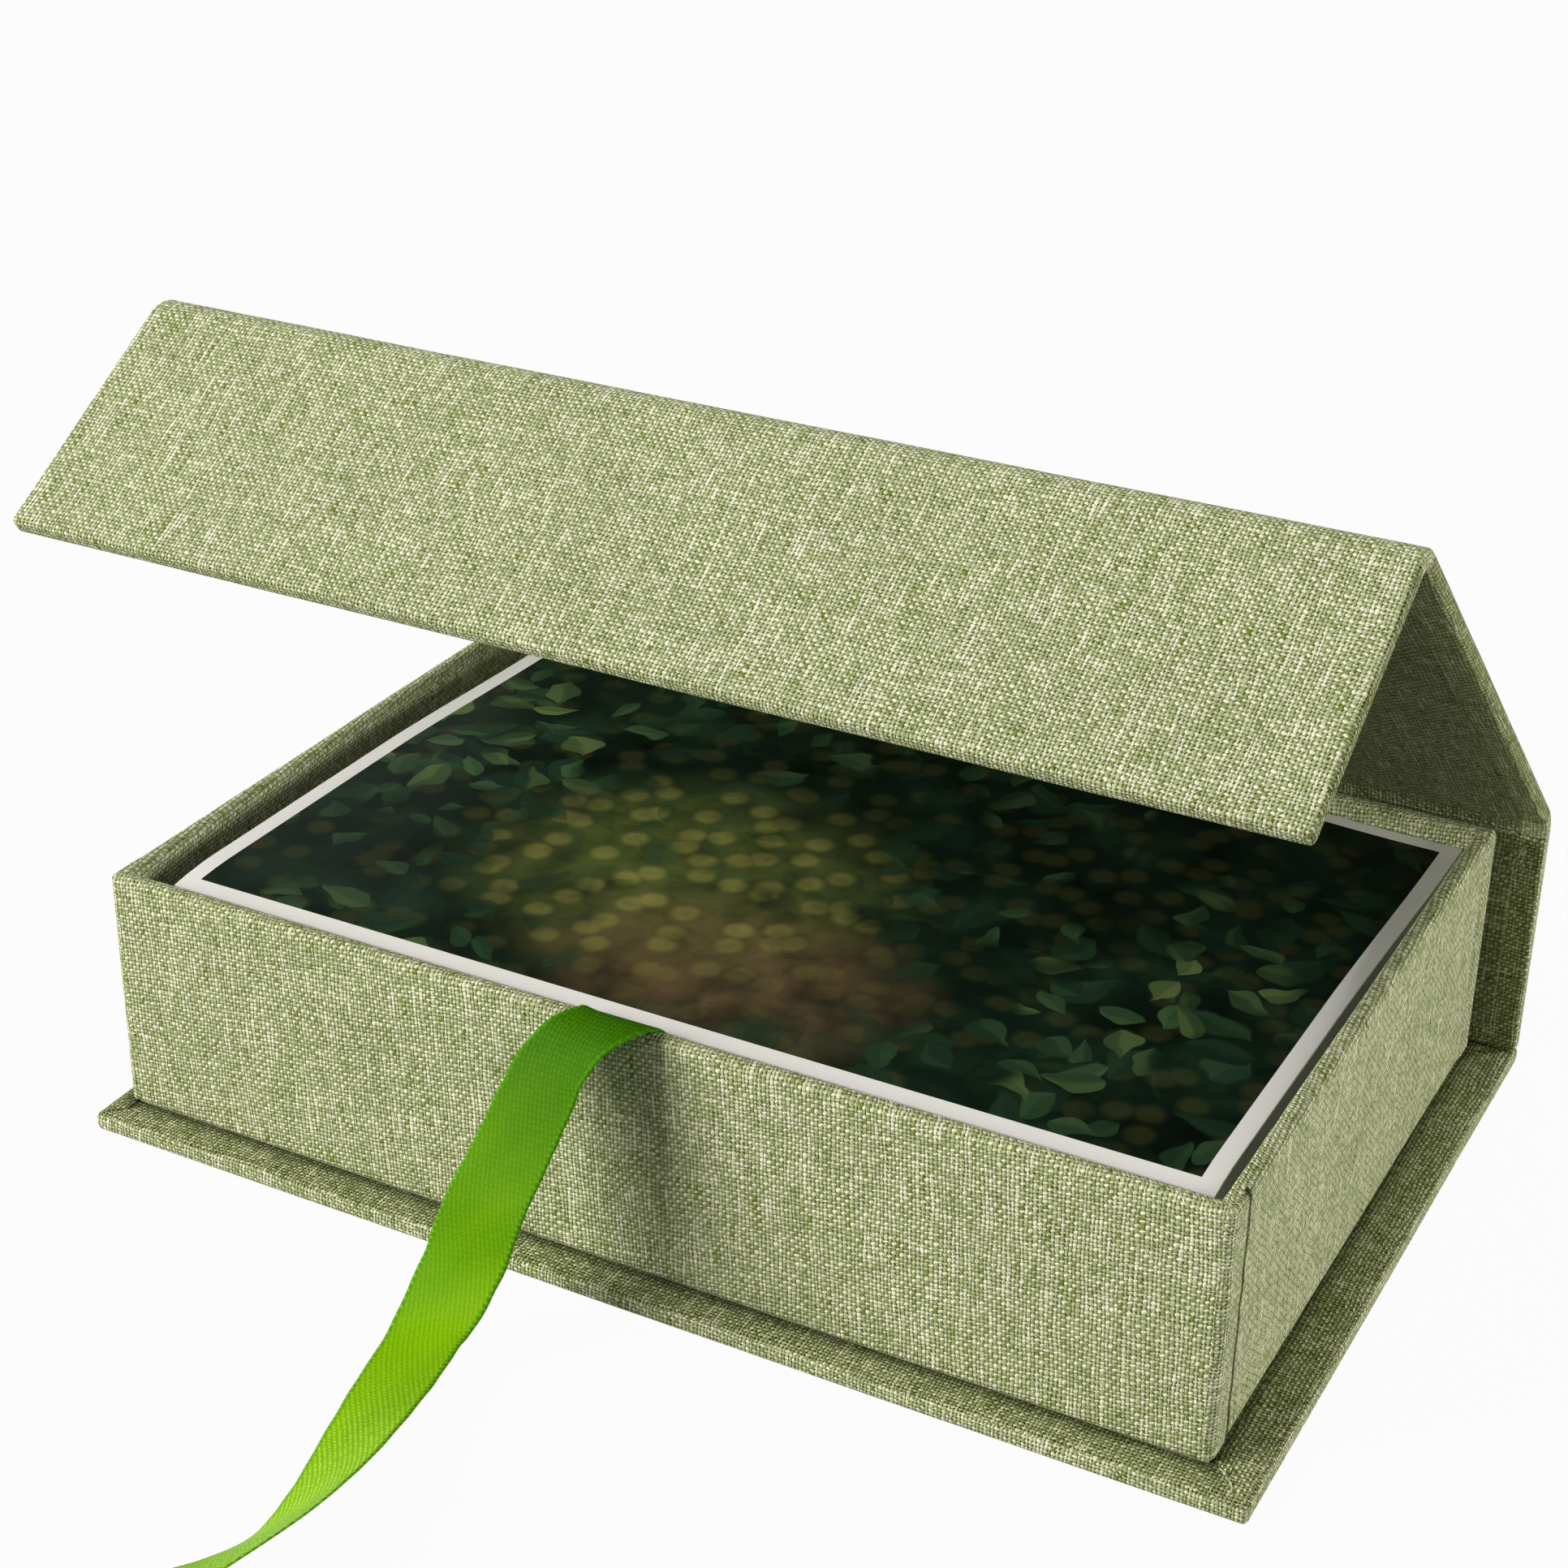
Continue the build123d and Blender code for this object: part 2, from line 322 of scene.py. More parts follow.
@dataclass(frozen=True)
class Block:
    """A board wrapped in cloth: a flat block with softened edges, in mm.

    Its own axes are x across, run along, and depth below the outer face.
    free_low and free_high say which ends of the run are wrapped; an end that
    a joint continues is cut square.
    """

    width: float
    low: float
    high: float
    thickness: float
    radius: float
    depth: float = 0.0
    free_low: bool = True
    free_high: bool = True
    step: float = 3.0
    inner_shift: float = 31.0

    def rounded(self, x: float, run: float, depth: float) -> Vector:
        """Point of the square block moved on to the rounded one.

        Args:
            x: Across, from the middle.
            run: Along the board.
            depth: Below the block's own outer face.

        Returns:
            x, run and depth on the rounded block.
        """
        r = self.radius
        near = Vector((
            min(max(x, -self.width / 2 + r), self.width / 2 - r),
            min(max(run, self.low + r * self.free_low), self.high - r * self.free_high),
            min(max(depth, r), self.thickness - r)))
        out = Vector((x, run, depth)) - near
        if out.length < 1e-9:
            return near
        return near + out.normalized() * r

    def unrolled(self, beyond: float) -> float:
        """Cloth length of a distance beyond the start of a rounded edge.

        Args:
            beyond: The distance on the square block.

        Returns:
            The same distance along the rounded surface.
        """
        if beyond <= 0:
            return beyond
        return self.radius * math.atan(beyond / self.radius)

    def face_place(self, x: float, run: float) -> Place:
        """Cloth place of a point on the outer or inner face.

        Args:
            x: Across, from the middle.
            run: Along the board.

        Returns:
            The place on the flat cloth.
        """
        r = self.radius
        u = math.copysign(
            self.width / 2 - r + self.unrolled(abs(x) - self.width / 2 + r), x
        ) if abs(x) > self.width / 2 - r else x
        v = run
        if self.free_high and run > self.high - r:
            v = self.high - r + self.unrolled(run - self.high + r)
        if self.free_low and run < self.low + r:
            v = self.low + r - self.unrolled(self.low + r - run)
        return u, v

    def side_length(self, depth: float) -> float:
        """Cloth length down a side, from the middle of the outer edge.

        Args:
            depth: Below the outer face.

        Returns:
            The length.
        """
        r, t = self.radius, self.thickness
        start = r * math.pi / 4
        if depth < r:
            return start - r * math.atan((r - depth) / r)
        if depth > t - r:
            return start + t - 2 * r + r * math.atan((depth - t + r) / r)
        return start + depth - r

    def draw(self, draft: Draft, at: Callable[[float, float, float], Vector],
             turn: float = 0.0) -> None:
        """Add the block's six sides to a draft.

        Args:
            draft: Where the faces go.
            at: Turns x, run and depth into a place in the part's frame.
            turn: Shift of the inner face's cloth place, so that its weave
                doesn't repeat the outer one's.
        """
        r, t = self.radius, self.thickness
        xs = rounded_stops(-self.width / 2, self.width / 2, r, self.step)
        runs = rounded_stops(self.low, self.high, r, self.step, self.free_low, self.free_high)
        downs = rounded_stops(0.0, t, r, t)

        def spot(x: float, run: float, down: float) -> Vector:
            """Place of a point of the block in the part's frame."""
            p = self.rounded(x, run, down)
            return at(p.x, p.y, p.z + self.depth)

        for down, shift in ((0.0, 0.0), (t, self.inner_shift + turn)):
            spots = [[self.face_place(x, run) for x in xs] for run in runs]
            draft.patch([[spot(x, run, down) for x in xs] for run in runs],
                        [[(u + shift, v + shift) for u, v in row] for row in spots])
        edge_u = self.face_place(self.width / 2, 0.0)[0]
        for sign in (-1, 1):
            draft.patch([[spot(sign * self.width / 2, run, down) for run in runs] for down in downs],
                        [[(sign * (edge_u + self.side_length(down)), self.face_place(0.0, run)[1])
                          for run in runs] for down in downs])
        for end, free, sign in ((self.low, self.free_low, -1), (self.high, self.free_high, 1)):
            if not free:
                continue
            edge_v = self.face_place(0.0, end)[1]
            draft.patch([[spot(x, end, down) for x in xs] for down in downs],
                        [[(self.face_place(x, self.low + 2 * r)[0],
                           edge_v + sign * self.side_length(down)) for x in xs] for down in downs])


# Wiring of shader nodes

def node_maths(operation: str, swapped: bool = False) -> Callable[["Signal", object], "Signal"]:
    """Make a method of Signal that adds one Math node.

    Args:
        operation: The node's operation.
        swapped: Whether the other value comes first.

    Returns:
        The method.
    """
    def method(one: "Signal", other: object) -> "Signal":
        """Result of the node."""
        pair = (other, one) if swapped else (one, other)
        return one.w.math(operation, *pair)

    return method


class Signal:
    """A value in a shader tree; arithmetic on it adds Math nodes."""

    def __init__(self, w: "Wiring", socket: bpy.types.NodeSocket) -> None:
        """Take the wiring and the socket that carries the value."""
        self.w = w
        self.socket = socket

    def __abs__(self) -> "Signal":
        """Size without sign."""
        return self.w.math("ABSOLUTE", self)

    __add__ = __radd__ = node_maths("ADD")
    __mul__ = __rmul__ = node_maths("MULTIPLY")
    __sub__ = node_maths("SUBTRACT")
    __rsub__ = node_maths("SUBTRACT", swapped=True)
    __truediv__ = node_maths("DIVIDE")


class Wiring:
    """Adds and links the nodes of one shader tree."""

    def __init__(self, tree: bpy.types.NodeTree) -> None:
        """Take the tree to work on."""
        self.tree = tree

    def feed(self, socket: bpy.types.NodeSocket, value: object) -> None:
        """Link a socket to what carries a value, or set its own value."""
        if isinstance(value, Signal):
            value = value.socket
        if isinstance(value, bpy.types.NodeSocket):
            self.tree.links.new(value, socket)
        elif value is not None:
            socket.default_value = value

    def fill(self, node: bpy.types.Node, **inputs: object) -> None:
        """Feed a node's sockets by name, with _ for a space."""
        for key, value in inputs.items():
            self.feed(node.inputs[key.replace("_", " ")], value)

    def add(self, kind: str, settings: dict | None = None, **inputs: object) -> bpy.types.Node:
        """Add a node with these properties and these sockets, with _ for a space."""
        made = self.tree.nodes.new(kind)
        for key, value in (settings or {}).items():
            setattr(made, key, value)
        self.fill(made, **inputs)
        return made

    def result(self, kind: str, output: int | str = 0, settings: dict | None = None,
               **inputs: object) -> Signal:
        """Add a node and take one of its outputs."""
        return Signal(self, self.add(kind, settings, **inputs).outputs[output])

    def math(self, operation: str, *values: object, kind: str = "ShaderNodeMath") -> Signal:
        """Result of a Math node with these values.

        Args:
            operation: The node's operation.
            *values: Its inputs in order.
            kind: Its type.

        Returns:
            The result.
        """
        made = self.add(kind, {"operation": operation})
        for socket, value in zip(made.inputs, values):
            self.feed(socket, value)
        return Signal(self, made.outputs[0])

    def join(self, x: object, y: object, z: object = 0.0) -> Signal:
        """A vector from three numbers."""
        return self.result("ShaderNodeCombineXYZ", X=x, Y=y, Z=z)

    def split(self, value: object, kind: str = "ShaderNodeSeparateXYZ") -> tuple[Signal, ...]:
        """The three numbers of a vector or a colour."""
        made = self.add(kind)
        self.feed(made.inputs[0], value)
        return tuple(Signal(self, output) for output in made.outputs)

    def noise(self, vector: object, scale: float, detail: float = 2.0, rough: float = 0.5) -> Signal:
        """Noise at this scale, about 0.5."""
        return self.result("ShaderNodeTexNoise", "Fac", Vector=vector, Scale=scale,
                           Detail=detail, Roughness=rough)

    def smooth(self, value: object, low: float, high: float) -> Signal:
        """Soft step from 0 at low to 1 at high."""
        return self.result("ShaderNodeMapRange", 0, {"interpolation_type": "SMOOTHSTEP"},
                           Value=value, From_Min=low, From_Max=high)

    def stretch(self, value: object, low: float, high: float) -> Signal:
        """Noise about 0.5 spread to run from low to high."""
        return self.result("ShaderNodeMapRange", Value=value, From_Min=0.25, From_Max=0.75,
                           To_Min=low, To_Max=high)

    def blend(self, factor: object, first: object, second: object, kind: str = "MIX") -> Signal:
        """Mix of two colours.

        Args:
            factor: Share of the second.
            first: First colour.
            second: Second colour.
            kind: How they mix.

        Returns:
            The colour.
        """
        made = self.add("ShaderNodeMix", {"data_type": "RGBA", "blend_type": kind})
        for place, value in ((0, factor), (6, first), (7, second)):
            self.feed(made.inputs[place], value)
        return Signal(self, made.outputs[2])

    def shade(self, colour: Signal, grey: Signal) -> Signal:
        """A colour times a grey."""
        return self.blend(1.0, colour, self.join(grey, grey, grey), "MULTIPLY")

    def ramp(self, factor: object, stops: list[tuple[float, Colour]]) -> Signal:
        """Colour ramp through these stops.

        Args:
            factor: Place on the ramp.
            stops: Places and their colours.

        Returns:
            The colour.
        """
        made = self.add("ShaderNodeValToRGB", None, Fac=factor)
        points = made.color_ramp.elements
        while len(points) < len(stops):
            points.new(0.5)
        for point, (where, colour) in zip(points, stops):
            point.position = where
            point.color = colour
        return Signal(self, made.outputs[0])

    def place(self) -> Signal:
        """Cloth place of the surface, in mm."""
        return self.result("ShaderNodeUVMap", 0, {"uv_map": "cloth_place"})

    def solid_place(self) -> Signal:
        """Place within the object, in metres."""
        return self.result("ShaderNodeTexCoord", "Object")

    def bump(self, height: object, distance: float) -> Signal:
        """Normal of a relief, its height in units of distance metres."""
        return self.result("ShaderNodeBump", Height=height, Distance=distance, Strength=1.0)


class Effect:
    """A shader node group that materials share, made once on first use."""

    title = ""
    inputs: tuple[tuple[str, str, object], ...] = ()
    outputs: tuple[tuple[str, str], ...] = ()

    def wire(self, w: Wiring, given: dict[str, Signal]) -> dict[str, Signal]:
        """Lay the group's nodes.

        Args:
            w: Wiring of the group's tree.
            given: The group's inputs by name.

        Returns:
            What feeds each output, by name.
        """
        raise NotImplementedError

    def tree(self) -> bpy.types.NodeTree:
        """The group's tree, made if it isn't there yet."""
        found = bpy.data.node_groups.get(self.title)
        if found:
            return found
        tree = bpy.data.node_groups.new(self.title, "ShaderNodeTree")
        for name, kind, value in self.inputs:
            socket = tree.interface.new_socket(name=name, in_out="INPUT", socket_type=kind)
            if value is not None:
                socket.default_value = value
        for name, kind in self.outputs:
            tree.interface.new_socket(name=name, in_out="OUTPUT", socket_type=kind)
        w = Wiring(tree)
        source = w.add("NodeGroupInput")
        sink = w.add("NodeGroupOutput")
        given = {name: Signal(w, source.outputs[name]) for name, _, _ in self.inputs}
        for name, signal in self.wire(w, given).items():
            w.feed(sink.inputs[name], signal)
        return tree

    def put(self, w: Wiring, **values: object) -> dict[str, Signal]:
        """Place the group in a material with these values.

        Args:
            w: Wiring of the material's tree.
            **values: Input sockets by name, with _ for a space.

        Returns:
            The group's outputs by name.
        """
        made = w.add("ShaderNodeGroup", {"node_tree": self.tree()}, **values)
        return {name: Signal(w, made.outputs[name]) for name, _ in self.outputs}


NUMBER, VECTOR, PAINT = "NodeSocketFloat", "NodeSocketVector", "NodeSocketColor"
VECTOR_MATH = "ShaderNodeVectorMath"


class Weave(Effect):
    """Plain weave of uneven linen threads.

    The threads along the cloth are streaky, from cream to green, and those
    across it are pale. Where a thread passes over, it stands up; its top is
    painted paler as a painted highlight and its sides darker as painted shade.
    Between threads the cloth shows the gap colour, partly its own dark gap
    and partly painted shade.
    """

    title = "linen_weave"
    inputs = (("Place", VECTOR, None), ("Across", NUMBER, 0.565),
              ("Along", NUMBER, 0.675), ("Slant", NUMBER, 0.094),
              ("Twist", NUMBER, -0.2), ("Gape", NUMBER, 0.0),
              ("Streak", NUMBER, 1.0), ("Pale", PAINT, (1, 1, 1, 1)),
              ("Middle", PAINT, (0.5, 0.5, 0.5, 1)),
              ("Deep", PAINT, (0.2, 0.2, 0.2, 1)),
              ("Gap", PAINT, (0, 0, 0, 1)))
    outputs = (("Colour", PAINT), ("Height", NUMBER), ("Open", NUMBER))

    def thread(self, w: Wiring, across: Signal, along: Signal, lift: Signal, half: Signal) -> Signal:
        """Height of one set of threads.

        Args:
            w: Wiring of the group.
            across: Place within the thread, -0.5 to 0.5.
            along: Place within the crossing, -0.5 to 0.5.
            lift: 1 where this set passes over, -1 where it passes under.
            half: Half width of the thread as a share of the pitch.

        Returns:
            The height, about -1 beside the thread and 1 on top of it.
        """
        share = across / half
        body = w.math("SQRT", w.math("MAXIMUM", 1.0 - share * share, 0.0))
        rise = w.math("COSINE", along * math.pi) * lift * 0.5
        return body * 1.24 - 0.74 + rise

    def wander(self, w: Wiring, across: Signal, along: Signal, level: float) -> Signal:
        """How far threads stray from their even places, in pitches.

        Args:
            w: Wiring of the group.
            across: Place across the threads, in pitches.
            along: Place along them, in pitches.
            level: A number that keeps the two sets apart.

        Returns:
            The shift across the threads, in pitches.
        """
        slow = w.noise(w.join(across * 0.07, along * 0.03, level), 1.0)
        quick = w.noise(w.join(across * 0.7, along * 0.13, level), 1.0)
        return w.stretch(slow, -0.7, 0.7) + w.stretch(quick, -0.26, 0.26)

    def wire(self, w: Wiring, given: dict[str, Signal]) -> dict[str, Signal]:
        """Lay the weave's nodes; see Effect.wire."""
        x, y, _ = w.split(given["Place"])
        slant, streak = given["Slant"], given["Streak"]
        u_even = (x + y * (slant * 0.45)) / given["Across"]
        v_even = (y - x * slant) / given["Along"]
        u = u_even + self.wander(w, u_even, v_even, 7.0)
        v = v_even + self.wander(w, v_even, u_even, 19.0)
        column, row = w.math("FLOOR", u), w.math("FLOOR", v)
        in_u, in_v = w.math("FRACT", u) - 0.5, w.math("FRACT", v) - 0.5
        over = 1.0 - w.math("FLOORED_MODULO", column + row, 2.0) * 2.0

        slub_long = w.noise(w.join(column * 7.31, v * 0.07, 3.0), 1.0, 2.0, 0.6)
        slub_cross = w.noise(w.join(u * 0.14, row * 5.17, 11.0), 1.0, 2.0, 0.6)
        high_long = self.thread(w, in_u, in_v, over, w.stretch(slub_long, 0.38, 0.5))
        high_cross = self.thread(w, in_u * given["Twist"] + in_v, in_u, over * -1.0,
                                 w.stretch(slub_cross, 0.33, 0.46))
        top = w.math("MAXIMUM", high_long, high_cross)
        long_shows = w.smooth(high_long - high_cross, -0.08, 0.08)

        knot = w.result("ShaderNodeTexWhiteNoise", "Value", {"noise_dimensions": "2D"},
                        Vector=w.join(column, row))
        fibre = w.noise(w.join(u * 2.9, v * 2.9, 2.0), 1.0, 2.0, 0.65)
        patch = w.noise(w.join(u * 0.3, v * 0.2, 41.0), 1.0, 1.0)
        chance = knot * 0.5 - 0.25 + w.stretch(fibre, -0.33, 0.33)
        # Painted highlight: the tops of the threads across are painted paler towards their crown.
        painted_crown_highlight = w.smooth(high_cross, 0.1, 0.8) * 0.62 - 0.26
        tone_long = w.stretch(slub_long, -0.5, 0.55) * streak + w.stretch(patch, 0.38, 0.62) + chance
        tone_cross = w.stretch(slub_cross, -0.32, 0.34) * streak + w.stretch(patch, 0.3, 0.5) + chance
        tone = tone_long * long_shows + (tone_cross - painted_crown_highlight) * (1.0 - long_shows)
        colour = w.blend(w.smooth(tone, -0.05, 0.5), given["Pale"], given["Middle"])
        colour = w.blend(w.smooth(tone, 0.55, 1.25), colour, given["Deep"])
        # Painted shade: thread edges are painted towards the deep colour.
        edge = 1.0 - w.smooth(top, -0.3, 0.6)
        colour = w.blend(edge * 0.45, colour, given["Deep"])
        # Gaps between threads take the gap colour, partly the cloth's own dark gap and partly painted
        # shade.
        low = 1.0 - w.smooth(top - given["Gape"], -0.45, 0.25)
        gap_and_painted_shade_mask = low * (w.stretch(patch, 0.6, 0.9) + knot * 0.25)
        strand = w.noise(w.join(u * 6.0, v * 6.0, 5.0), 1.0, 1.0)
        colour = w.shade(colour, w.stretch(strand, 0.74, 1.18))
        return {"Colour": w.blend(gap_and_painted_shade_mask, colour, given["Gap"]),
                "Height": top + w.stretch(fibre, -0.2, 0.2), "Open": gap_and_painted_shade_mask}


class Fuzz(Effect):
    """Faint soiling and nap at two scales, for cloth, board and card."""

    title = "nap"
    inputs = (("Place", VECTOR, None), ("Grain", NUMBER, 1.0))
    outputs = (("Fine", NUMBER), ("Broad", NUMBER))

    def wire(self, w: Wiring, given: dict[str, Signal]) -> dict[str, Signal]:
        """Lay the nap's nodes; see Effect.wire."""
        scaled = w.result(VECTOR_MATH, 0, {"operation": "SCALE"},
                          Vector=given["Place"], Scale=given["Grain"])
        return {"Fine": w.noise(scaled, 2.6, 4.0, 0.62), "Broad": w.noise(scaled, 0.06, 3.0, 0.55)}


class Leaves(Effect):
    """A scatter of pointed leaves on a plane, each turned its own way."""

    title = "leaf_scatter"
    inputs = (("Place", VECTOR, None), ("Size", NUMBER, 8.0),
              ("Seed", NUMBER, 0.0), ("Soft", NUMBER, 0.02),
              ("Slim", NUMBER, 0.21))
    outputs = (("Leaf", NUMBER), ("Tone", NUMBER), ("Vein", NUMBER))

    def wire(self, w: Wiring, given: dict[str, Signal]) -> dict[str, Signal]:
        """Lay the leaves' nodes; see Effect.wire."""
        x, y, _ = w.split(given["Place"])
        spot = w.join(x / given["Size"] + given["Seed"], y / given["Size"] + given["Seed"])
        cell = w.add("ShaderNodeTexVoronoi", {"voronoi_dimensions": "2D", "feature": "F1"},
                     Vector=spot, Scale=1.0, Randomness=0.9).outputs
        dx, dy, _ = w.split(w.math("SUBTRACT", spot, cell["Position"], kind=VECTOR_MATH))
        way, shade, kept = w.split(cell["Color"], "ShaderNodeSeparateColor")
        cosine, sine = w.math("COSINE", way * TURN), w.math("SINE", way * TURN)
        run = dx * cosine + dy * sine
        side = dy * cosine - dx * sine
        share = run / 0.42
        taper = (1.0 - share * share) * (1.0 - share * 0.38)
        margin = (taper * given["Slim"] - abs(side)) / given["Soft"]
        leaf = w.math("MINIMUM", w.math("MAXIMUM", margin, 0.0), 1.0)
        rib = 1.0 - w.smooth(abs(side), 0.0, 0.03)
        ribs = w.math("FRACT", (run - abs(side)) * 9.0)
        return {"Leaf": leaf * w.smooth(kept, 0.18, 0.24),
                "Tone": shade * 0.7 + w.smooth(side, -0.05, 0.05) * 0.3,
                "Vein": w.math("MAXIMUM", rib, w.smooth(ribs, 0.72, 1.0) * 0.5)}


# Finishes

class Finish:
    """A material, made once; the class also names a record slot."""

    title = ""
    slot: Slot | None = None

    def wire(self, w: Wiring, shader: bpy.types.Node) -> None:
        """Lay the material's nodes round its shader."""
        raise NotImplementedError

    def material(self) -> bpy.types.Material:
        """The material, made if it isn't there yet."""
        found = bpy.data.materials.get(self.title)
        if found:
            return found
        made = bpy.data.materials.new(self.title)
        made.use_nodes = True
        w = Wiring(made.node_tree)
        self.wire(w, made.node_tree.nodes["Principled BSDF"])
        return made

    def dress(self, piece: bpy.types.Object) -> bpy.types.Object:
        """Give a new piece this finish."""
        piece.data.materials.clear()
        piece.data.materials.append(self.material())
        return piece

    def repaint(self, node: bpy.types.Object) -> None:
        """Give a node of the frame this finish in its own slots."""
        if not node.material_slots:
            node.data.materials.append(self.material())
        for holder in node.material_slots:
            holder.link = "OBJECT"
            holder.material = self.material()


@dataclass(frozen=True)
class Linen(Finish):
    """Book linen of cream and green threads."""

    title: str = "linen"
    slot: Slot = Slot.LINEN
    across: float = 0.575
    along: float = 0.665
    slant: float = 0.0
    streak: float = 1.0
    pale: Colour = rgb("FCFBDF")
    middle: Colour = rgb("B4BF8E")
    deep: Colour = rgb("75842A")
    gap: Colour = rgb("394610")
    relief: float = 0.00014
    gape: float = 0.0

    def wire(self, w: Wiring, shader: bpy.types.Node) -> None:
        """Weave and nap on a rough, slightly fleecy surface."""
        weave = Weave().put(w, Place=w.place(), Across=self.across, Along=self.along,
                            Slant=self.slant, Gape=self.gape, Streak=self.streak,
                            Pale=self.pale, Middle=self.middle, Deep=self.deep, Gap=self.gap)
        nap = Fuzz().put(w, Place=w.place(), Grain=1.0)
        soiled = w.shade(weave["Colour"], w.stretch(nap["Broad"], 0.93, 1.04))
        height = weave["Height"] + nap["Fine"] * 0.25
        w.fill(shader, Base_Color=self.painted_shade(w, soiled), Specular_IOR_Level=0.02,
               Roughness=w.stretch(weave["Open"], 0.78, 0.95),
               Normal=w.bump(height, self.relief))

    def painted_shade(self, w: Wiring, colour: Signal) -> Signal:
        """The cloth's colour with painted shade; plain linen has none."""
        return colour


@dataclass(frozen=True)
class ShadedBaseLinen(Linen):
    """Linen darkened as painted shade for the base's top and turn-ins, with more painted shade along
    the tray's foot.
    """

    title: str = "shaded_base_linen"
    across: float = 0.53
    along: float = 0.56
    # Colours darker than the plain linen's, as painted shade.
    pale: Colour = rgb("E9EAC8")
    middle: Colour = rgb("97A26C")
    deep: Colour = rgb("5D6C20")
    gap: Colour = rgb("262F0C")
    gape: float = 0.3
    middle_at: Place = (-2.3, 1.05)
    half: Place = (82.2, 54.5)

    def painted_shade(self, w: Wiring, colour: Signal) -> Signal:
        """Painted shade: darken the colour close to the tray's walls."""
        beyond = [abs(value * (1 / MM) - middle) - half for value, middle, half
                  in zip(w.split(w.solid_place()), self.middle_at, self.half)]
        # Painted shade along the foot of the tray's walls, strongest next to them.
        near = 1.0 - w.smooth(w.math("MAXIMUM", *beyond), -0.3, 2.6)
        return w.blend(near * 0.75, colour, self.gap)


@dataclass(frozen=True)
class Satin(Finish):
    """Woven satin ribbon with small selvedge loops."""

    title: str = "ribbon_satin"
    slot: Slot = Slot.SATIN
    width: float = 12.0
    bright: Colour = rgb("88BC00")
    dark: Colour = rgb("508F00")
    shaded: Colour = rgb("235F00")
    glint: Colour = rgb("C9EC58")
    selvedge: Colour = rgb("3F8A00")
    arch: float = 104.0
    fall: float = 46.0
    sheen_after: float = 62.0
    row: float = 1.05
    rank: float = 1.15
    loop: float = 0.9

    def wire(self, w: Wiring, shader: bpy.types.Node) -> None:
        """Fine slanting floats, a slubby lustre and a firmer edge, with painted shade over the arch, a
        painted sheen band and painted glints.
        """
        place = w.place()
        across, along, _ = w.split(place)
        sway = w.stretch(w.noise(place, 1.6, 2.0), -0.22, 0.22)
        rows = (across * -0.45 + along) / self.row + sway
        ranks = (along * 0.35 + across) / self.rank + sway
        dots = w.math("SINE", rows * TURN) * w.math("SINE", ranks * TURN) * 0.5 + 0.5
        fleck = w.noise(w.join(across * 1.2, along * 5.0), 1.0, 3.0, 0.7)
        lustre = w.noise(w.join(along * 0.05 + across * 0.11, along * 0.04), 1.0)
        # Painted sheen: a band across the hanging ribbon is painted brighter.
        from_sheen = across * 1.6 + (along - (self.arch + self.sheen_after))
        painted_sheen = 1.0 - w.smooth(abs(from_sheen), 4.0, 30.0)
        edge = w.smooth(abs(across), self.width / 2 - 0.8, self.width / 2 - 0.5)
        loops = edge * w.smooth(w.math("SINE", along * (TURN / self.loop)), 0.0, 0.8)
        hanging = w.smooth(along, self.arch, self.arch + self.fall)
        low = w.smooth(along, self.arch + self.fall, self.arch + self.fall + 30.0)
        # Painted glints on the satin's dots, stronger low on the ribbon.
        glint_speck = w.smooth(dots, 0.45, 0.95) * (low * 0.55 + 0.06)
        bright = w.stretch(fleck, 0.0, 1.0) * 0.35 + w.stretch(lustre, 0.0, 0.45)
        colour = w.blend(bright + painted_sheen * 0.3, self.dark, self.bright)
        # Painted shade: the ribbon is painted darker over its arch, before it hangs.
        colour = w.blend(hanging * -0.85 + 0.85, colour, self.shaded)
        colour = w.blend(glint_speck, colour, self.glint)
        colour = w.blend(edge * 0.7, colour, self.selvedge)
        # Painted glints on the selvedge loops, stronger where the ribbon hangs.
        colour = w.blend(loops * (hanging * 0.16 + 0.04), colour, self.glint)
        height = dots * 0.9 + (loops * 0.8 + fleck * 0.5)
        w.fill(shader, Base_Color=colour, Roughness=w.stretch(fleck, 0.42, 0.58),
               Anisotropic=0.5, Specular_IOR_Level=0.03, Normal=w.bump(height, 0.00006))


@dataclass(frozen=True)
class GreyBoard(Finish):
    """Recycled board, as its cut edge and faces show it."""

    title: str = "greyboard"
    slot: Slot = Slot.BOARD
    light: Colour = rgb("A39E92")
    dark: Colour = rgb("7D786C")

    def wire(self, w: Wiring, shader: bpy.types.Node) -> None:
        """Flecked fibre in two greys."""
        nap = Fuzz().put(w, Place=w.solid_place(), Grain=900.0)["Fine"]
        w.fill(shader, Base_Color=w.blend(nap, self.dark, self.light),
               Roughness=w.stretch(nap, 0.85, 0.98), Normal=w.bump(nap, 0.0001))


@dataclass(frozen=True)
class WhiteCard(GreyBoard):
    """Pale filling card."""

    title: str = "infill_card"
    slot: Slot = Slot.CARD
    light: Colour = rgb("DEDACB")
    dark: Colour = rgb("C5C0AF")


